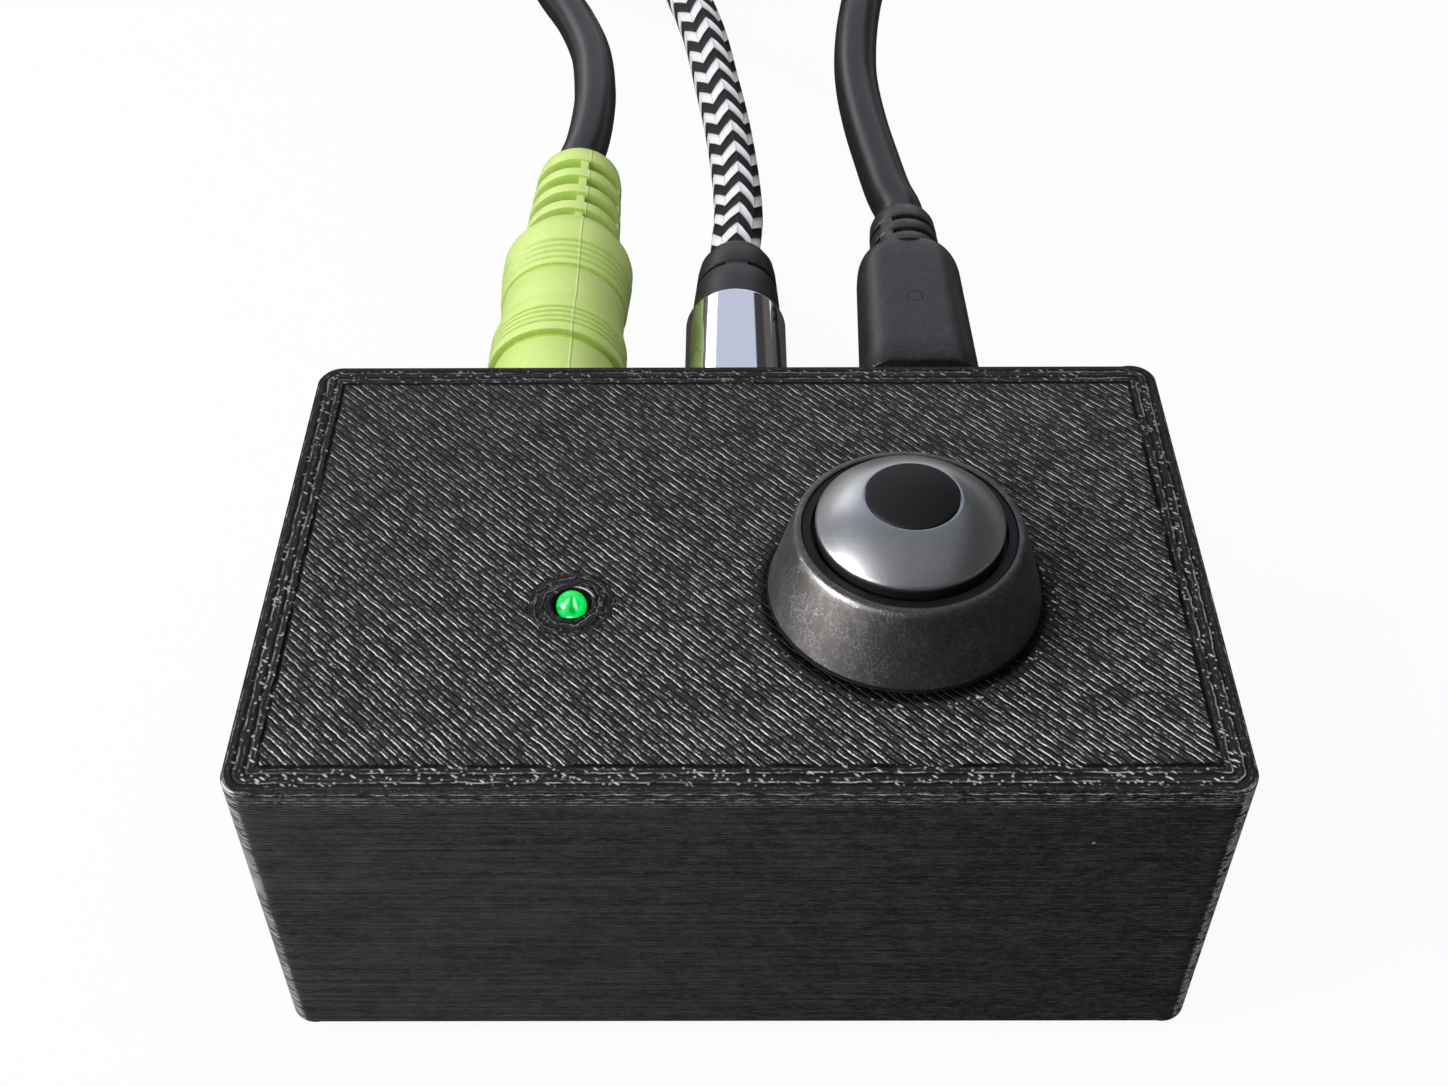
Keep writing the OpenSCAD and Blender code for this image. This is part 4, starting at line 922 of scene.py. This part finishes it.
def braid_look():
    """Flat strands that cross in a zigzag, white over black, longer in the bend than at the boot, with painted
    shade where strands tuck under and toward their edges.
    """
    look, place = material("braid_black_and_white", (0.5, 0.5, 0.5), 0.6, specular=0.3)
    u, v, _ = look.coords("UV")
    spin = look.times(look.less(u, 0.24), 5.0)
    swing = look.times(look.math("PINGPONG", spin, 0.5), 2.0)
    bent = look.least(v, 75.0)
    rows = look.plus(look.times(look.math("LOGARITHM", look.scaled(bent, 0.004, 1.0), math.e), 68.7),
                     look.over(look.less(v, bent), 4.68))
    row = look.math("FRACT", look.plus(look.scaled(swing, 0.58, rows), 0.5))
    white = look.times(look.step(row, 0.0, 0.035), look.step(row, 0.52, 0.485))
    strand = look.unsigned(look.scaled(look.math("FRACT", look.times(row, 2.0)), 2.0, -1.0))
    fold = look.unsigned(look.scaled(swing, 2.0, -1.0))
    round_top = look.less(1.0, look.math("POWER", strand, 3.0))
    tuck = look.less(1.0, look.math("POWER", fold, 6.0))
    slope = look.times(look.math("SIGN", look.less(look.math("FRACT", spin), 0.5)), 1.3)
    fibre_v = look.scaled(v, 6.0, look.times(slope, look.times(u, 30.0)))
    fibres = look.noise(look.together(look.times(u, 12.0), fibre_v, 0.0), 2.2, 3.0, 0.6)
    # Painted shade: white strands go grey where they fold under their neighbours, and toward their rounded edges.
    painted_tuck_shade = look.times(look.step(fold, 0.82, 0.98), look.step(fibres, 0.45, 0.6))
    grey = look.times(look.scaled(fibres, 0.3, 0.78), look.scaled(painted_tuck_shade, -0.45, 1.0))
    pale = look.shade((0.95, 0.95, 0.97), look.times(grey, look.scaled(round_top, 0.2, 0.85)))
    dark = look.shade((0.009, 0.009, 0.0095), look.scaled(fibres, 1.6, 0.2))
    height = look.times(look.times(round_top, look.scaled(tuck, 0.5, 0.5)), 0.16)
    return look.surface(look.tint(white, dark, pale), look.scaled(fibres, 0.2, 0.5),
                        look.scaled(fibres, 0.05, height))


finish(lime_lead, jacket_look("lime_cord_jacket", 0.009, 0.34), "cord_black", "lime_cord", "lime_coil")
finish(usb_lead, jacket_look("usb_cord_jacket", 0.008, 0.32), "cord_black", "usb_cord", "usb_coil")
finish(braid_lead, braid_look(), "cord_braid", "braid_cord", "braid_coil")


# Strap round the coils

STRAP_Y, STRAP_Z = 165.5, 18.05


def strap_look():
    look, place = material("strap_woven_black", (0.03, 0.03, 0.032), 0.8, specular=0.2)
    across, along, _ = look.coords("UV")
    warp = look.math("SINE", look.times(across, 9.0))
    weft = look.math("SINE", look.times(along, 9.0))
    weave = look.scaled(look.times(warp, weft), 0.5, 0.5)
    hem = look.step(look.unsigned(across), 5.0, 5.2)
    stitch = look.times(look.step(look.off(along, STITCH_AT), 0.35, 0.2),
                        look.math("GREATER_THAN", look.math("SINE", look.times(across, 4.2)), -0.3))
    grainy = look.grain(place, 6.0, 0.4)
    tone = look.times(grainy["Shade"], look.scaled(weave, 0.7, look.blend(hem, 0.65, 0.4)))
    woven = look.shade((0.034, 0.034, 0.036), tone)
    height = look.scaled(weave, 0.12, look.times(grainy["Height"], 0.05))
    return look.surface(look.tint(stitch, woven, (0.09, 0.09, 0.095)), 0.8, look.scaled(stitch, 0.1, height))


def strap_line():
    """Points and outward directions round the coils, seen along X, with the end lapped over the start."""
    half_y, half_z, r = 10.725, 17.55, 4.0
    line = [((0.0, half_z), (0.0, 1.0))]
    for k, (side, end) in enumerate(((-1, 1), (-1, -1), (1, -1), (1, 1))):
        for i in range(9):
            a = math.radians(90 * (k + 1) + 90 * i / 8)
            out = (math.cos(a), math.sin(a))
            line.append(((side * (half_y - r) + r * out[0], end * (half_z - r) + r * out[1]), out))
    return line + [((y, half_z + lift), (0.0, 1.0))
                   for y, lift in ((4.0, 0.0), (3.0, 0.1), (1.6, 0.55), (0.4, 0.95), (-0.4, 1.03), (-6.2, 1.03))]


def woven_strap():
    section = [(6, -0.2), (6, 0.2), (5.7, 0.5), (2, 0.5), (-2, 0.5), (-5.7, 0.5), (-6, 0.2), (-6, -0.2),
               (-5.7, -0.5), (-2, -0.5), (2, -0.5), (5.7, -0.5)]
    count, points, along, last = len(section), [], [], None
    for (y, z), (out_y, out_z) in strap_line():
        points += [(x, STRAP_Y + y + t * out_y, STRAP_Z + z + t * out_z) for x, t in section]
        along.append(0.0 if last is None else along[-1] + math.hypot(y - last[0], z - last[1]))
        last = (y, z)
    faces = [(i * count + k, (i + 1) * count + k, (i + 1) * count + (k + 1) % count, i * count + (k + 1) % count)
             for i in range(len(along) - 1) for k in range(count)]
    faces += [tuple(range(count)), tuple(range(len(points) - 1, len(points) - count - 1, -1))]
    uv = [(section[p % count][0], along[p // count]) for face in faces for p in face]
    return piece("coil_strap_webbing", points, faces, "case", 40, uv), along[-1]


strap, strap_long = woven_strap()
STITCH_AT = strap_long - 1.5
finish(strap, strap_look(), "strap_fabric", "coil_strap")


# Pieces that keep their CAD shape

def board_look():
    look, place = material("board_solder_mask", (0.02, 0.13, 0.05), 0.3)
    grainy = look.grain(place, 2.0, 0.15)
    streaks = look.noise(look.sized(place, (0.12, 1.0, 1.0)), 0.9, 1.0)
    tracks = look.times(look.step(streaks, 0.5, 0.53), look.step(streaks, 0.62, 0.59))
    green = look.tint(tracks, (0.02, 0.13, 0.05), (0.05, 0.22, 0.08))
    return look.surface(look.shade(green, grainy["Shade"]), look.scaled(grainy["Height"], 0.15, 0.24),
                        look.times(tracks, 0.035))


dress(board_look(), "main_board")
dress(moulded("foot_rubber_dark", (0.03, 0.03, 0.03), 0.75, grain=3.0, depth=0.03), "rubber_feet")
dress(moulded("socket_moulding_black", (0.03, 0.03, 0.032), 0.45),
      "speaker_jack", "player_jack", "usb_tongue", "led_spacer")
dress(moulded("encoder_base_brown", (0.09, 0.06, 0.045), 0.5), "encoder_base")
dress(moulded("rotor_nylon_cream", (0.72, 0.68, 0.56), 0.45), "encoder_rotor")
dress(moulded("relay_case_white", (0.75, 0.75, 0.72), 0.35), "relays")
dress(moulded("chip_epoxy_black", (0.025, 0.025, 0.027), 0.6, grain=9.0), "control_chip", "resistors")
dress(moulded("capacitor_sleeve_blue", (0.06, 0.08, 0.14), 0.3), "capacitors")
dress(plated("screw_zinc", (0.58, 0.58, 0.6), 0.32), "base_screws", "board_screws")
dress(plated("insert_brass", (0.72, 0.52, 0.2), 0.3), "thread_inserts")
dress(plated("tab_tin", (0.7, 0.68, 0.63), 0.36), "jack_tabs", "encoder_pins", "led_wires", "chip_legs")
dress(plated("socket_nickel", (0.66, 0.66, 0.68), 0.28),
      "usb_socket", "usb_plug_shell", "usb_end_shell", "encoder_frame")
dress(plated("encoder_die_cast", (0.6, 0.6, 0.62), 0.4),
      "encoder_bushing", "lock_washer", "panel_nut", "encoder_shaft")
dress(plated("spring_bronze", (0.68, 0.62, 0.5), 0.25), "detent_spring", "switch_dome")
dress(plated("pin_nickel", (0.8, 0.78, 0.72), 0.16), "lime_pin", "lime_end_pin", "chrome_pin", "chrome_end_pin")


# Studio

def seen_directly(look):
    """1 for rays that show the room itself: straight from the camera, mirrored or through glass."""
    rays = look.node("LightPath").outputs
    return look.most(rays["Is Camera Ray"], look.most(rays["Is Glossy Ray"], rays["Is Transmission Ray"]))


def pale_room():
    world = bpy.data.worlds.new("pale_room")
    world.use_nodes = True
    scene.world = world
    look = Look(world.node_tree)
    up = look.coords("Generated")[2]
    overhead = look.scaled(look.most(up, 0.0), 0.9, 0.06)
    soft = look.node("Background", {"Color": (0.97, 0.985, 1.0), "Strength": overhead})
    white = look.node("Background", {"Color": (1.0, 1.0, 1.0), "Strength": 1.0})
    mixed = look.node("MixShader", {0: seen_directly(look), 1: soft.outputs[0], 2: white.outputs[0]})
    look.node("OutputWorld", {0: mixed.outputs[0]})


def sheet_object(name, x, y, z):
    """A flat card of the room; two of its sides are pairs and the third is one number."""
    (x0, x1), (y0, y1), (z0, z1) = (side if isinstance(side, tuple) else (side, side) for side in (x, y, z))
    if x0 == x1:
        corners = [(x0, y0, z0), (x0, y1, z0), (x0, y1, z1), (x0, y0, z1)]
    else:
        corners = [(x0, y0, z0), (x1, y0, z0), (x1, y1, z1), (x0, y1, z1)]
    mesh = bpy.data.meshes.new(name)
    mesh.from_pydata([Vector(c) * MM for c in corners], [], [(0, 1, 2, 3)])
    made = bpy.data.objects.new(name, mesh)
    scene.collection.objects.link(made)
    return made


def pale_floor():
    floor = sheet_object("pale_floor", (-4000, 4000), (-4000, 4000), -0.1)
    look = blank("pale_floor")
    paper = look.node("BsdfDiffuse", {"Color": (0.4, 0.4, 0.4)})
    white = look.node("Emission", {"Color": (1.0, 1.0, 1.0), "Strength": 1.08})
    share = look.times(seen_directly(look), 0.87)
    mixed = look.node("MixShader", {0: share, 1: paper.outputs[0], 2: white.outputs[0]})
    look.node("OutputMaterial", {0: mixed.outputs[0]})
    floor.data.materials.append(look.made)


def studio_card(name, x, y, z, near, far, axis, span, shades=False):
    """A card that only shows as a reflection, shaded from one colour to another along an axis.

    A card that shades also keeps light off what stands beside it.
    """
    card = sheet_object(name, x, y, z)
    look = blank(name)
    along = look.coords("Object")[axis]
    colour = look.tint(look.step(along, span[0] * MM, span[1] * MM), near, far)
    glow = look.node("Emission", {"Color": colour, "Strength": 1.0})
    look.node("OutputMaterial", {0: glow.outputs[0]})
    card.data.materials.append(look.made)
    card.visible_camera = False
    card.visible_diffuse = card.visible_shadow = shades


def softbox(name, direction, distance, width, height, watts):
    data = bpy.data.lights.new(name, "AREA")
    data.shape = "RECTANGLE"
    data.size, data.size_y = width * MM, height * MM
    data.energy = watts
    lamp = bpy.data.objects.new(name, data)
    away = Vector(direction).normalized()
    lamp.location = (away * distance + Vector((0, 0, 25))) * MM
    lamp.rotation_mode = "QUATERNION"
    lamp.rotation_quaternion = away.to_track_quat("Z", "Y")
    lamp.visible_glossy = False
    scene.collection.objects.link(lamp)


pale_room()
pale_floor()
softbox("window_left", (-0.75, -0.15, 0.64), 700, 300, 300, 3.0)
LEFT, RIGHT, FRONT, BACK, CEILING = -600, 600, -900, 1500, 620
ACROSS, DEEP = (LEFT, RIGHT), (FRONT, BACK)
studio_card("ceiling_card", ACROSS, DEEP, CEILING, (0.24, 0.25, 0.27), (0.57, 0.62, 0.76), 1, (80, 560))
studio_card("right_card", RIGHT, DEEP, (20, CEILING), (0.12, 0.11, 0.1), (0.05, 0.05, 0.056), 2, (230, 300), True)
studio_card("front_card", ACROSS, FRONT, (20, CEILING), (0.04, 0.037, 0.035), (0.1, 0.1, 0.105), 2, (20, 620))
studio_card("left_card", LEFT, (FRONT, 550), (70, CEILING), (0.3, 0.31, 0.34), (0.36, 0.38, 0.42), 2, (70, 620))
studio_card("left_back_card", LEFT, (550, BACK), (70, 240), (0.1, 0.095, 0.09), (0.16, 0.16, 0.165), 2, (70, 240))
studio_card("left_window", LEFT, (550, BACK), (240, CEILING), (2.4, 2.4, 2.45), (1.8, 1.8, 1.85), 2, (240, 620))
studio_card("low_window", -450, (-310, -80), (75, 215), (66, 66, 67), (66, 66, 67), 2, (75, 215))
studio_card("floor_flag", ACROSS, (FRONT, 450), -0.05, (0.035, 0.031, 0.028), (0.08, 0.072, 0.064), 1, (-300, 450))
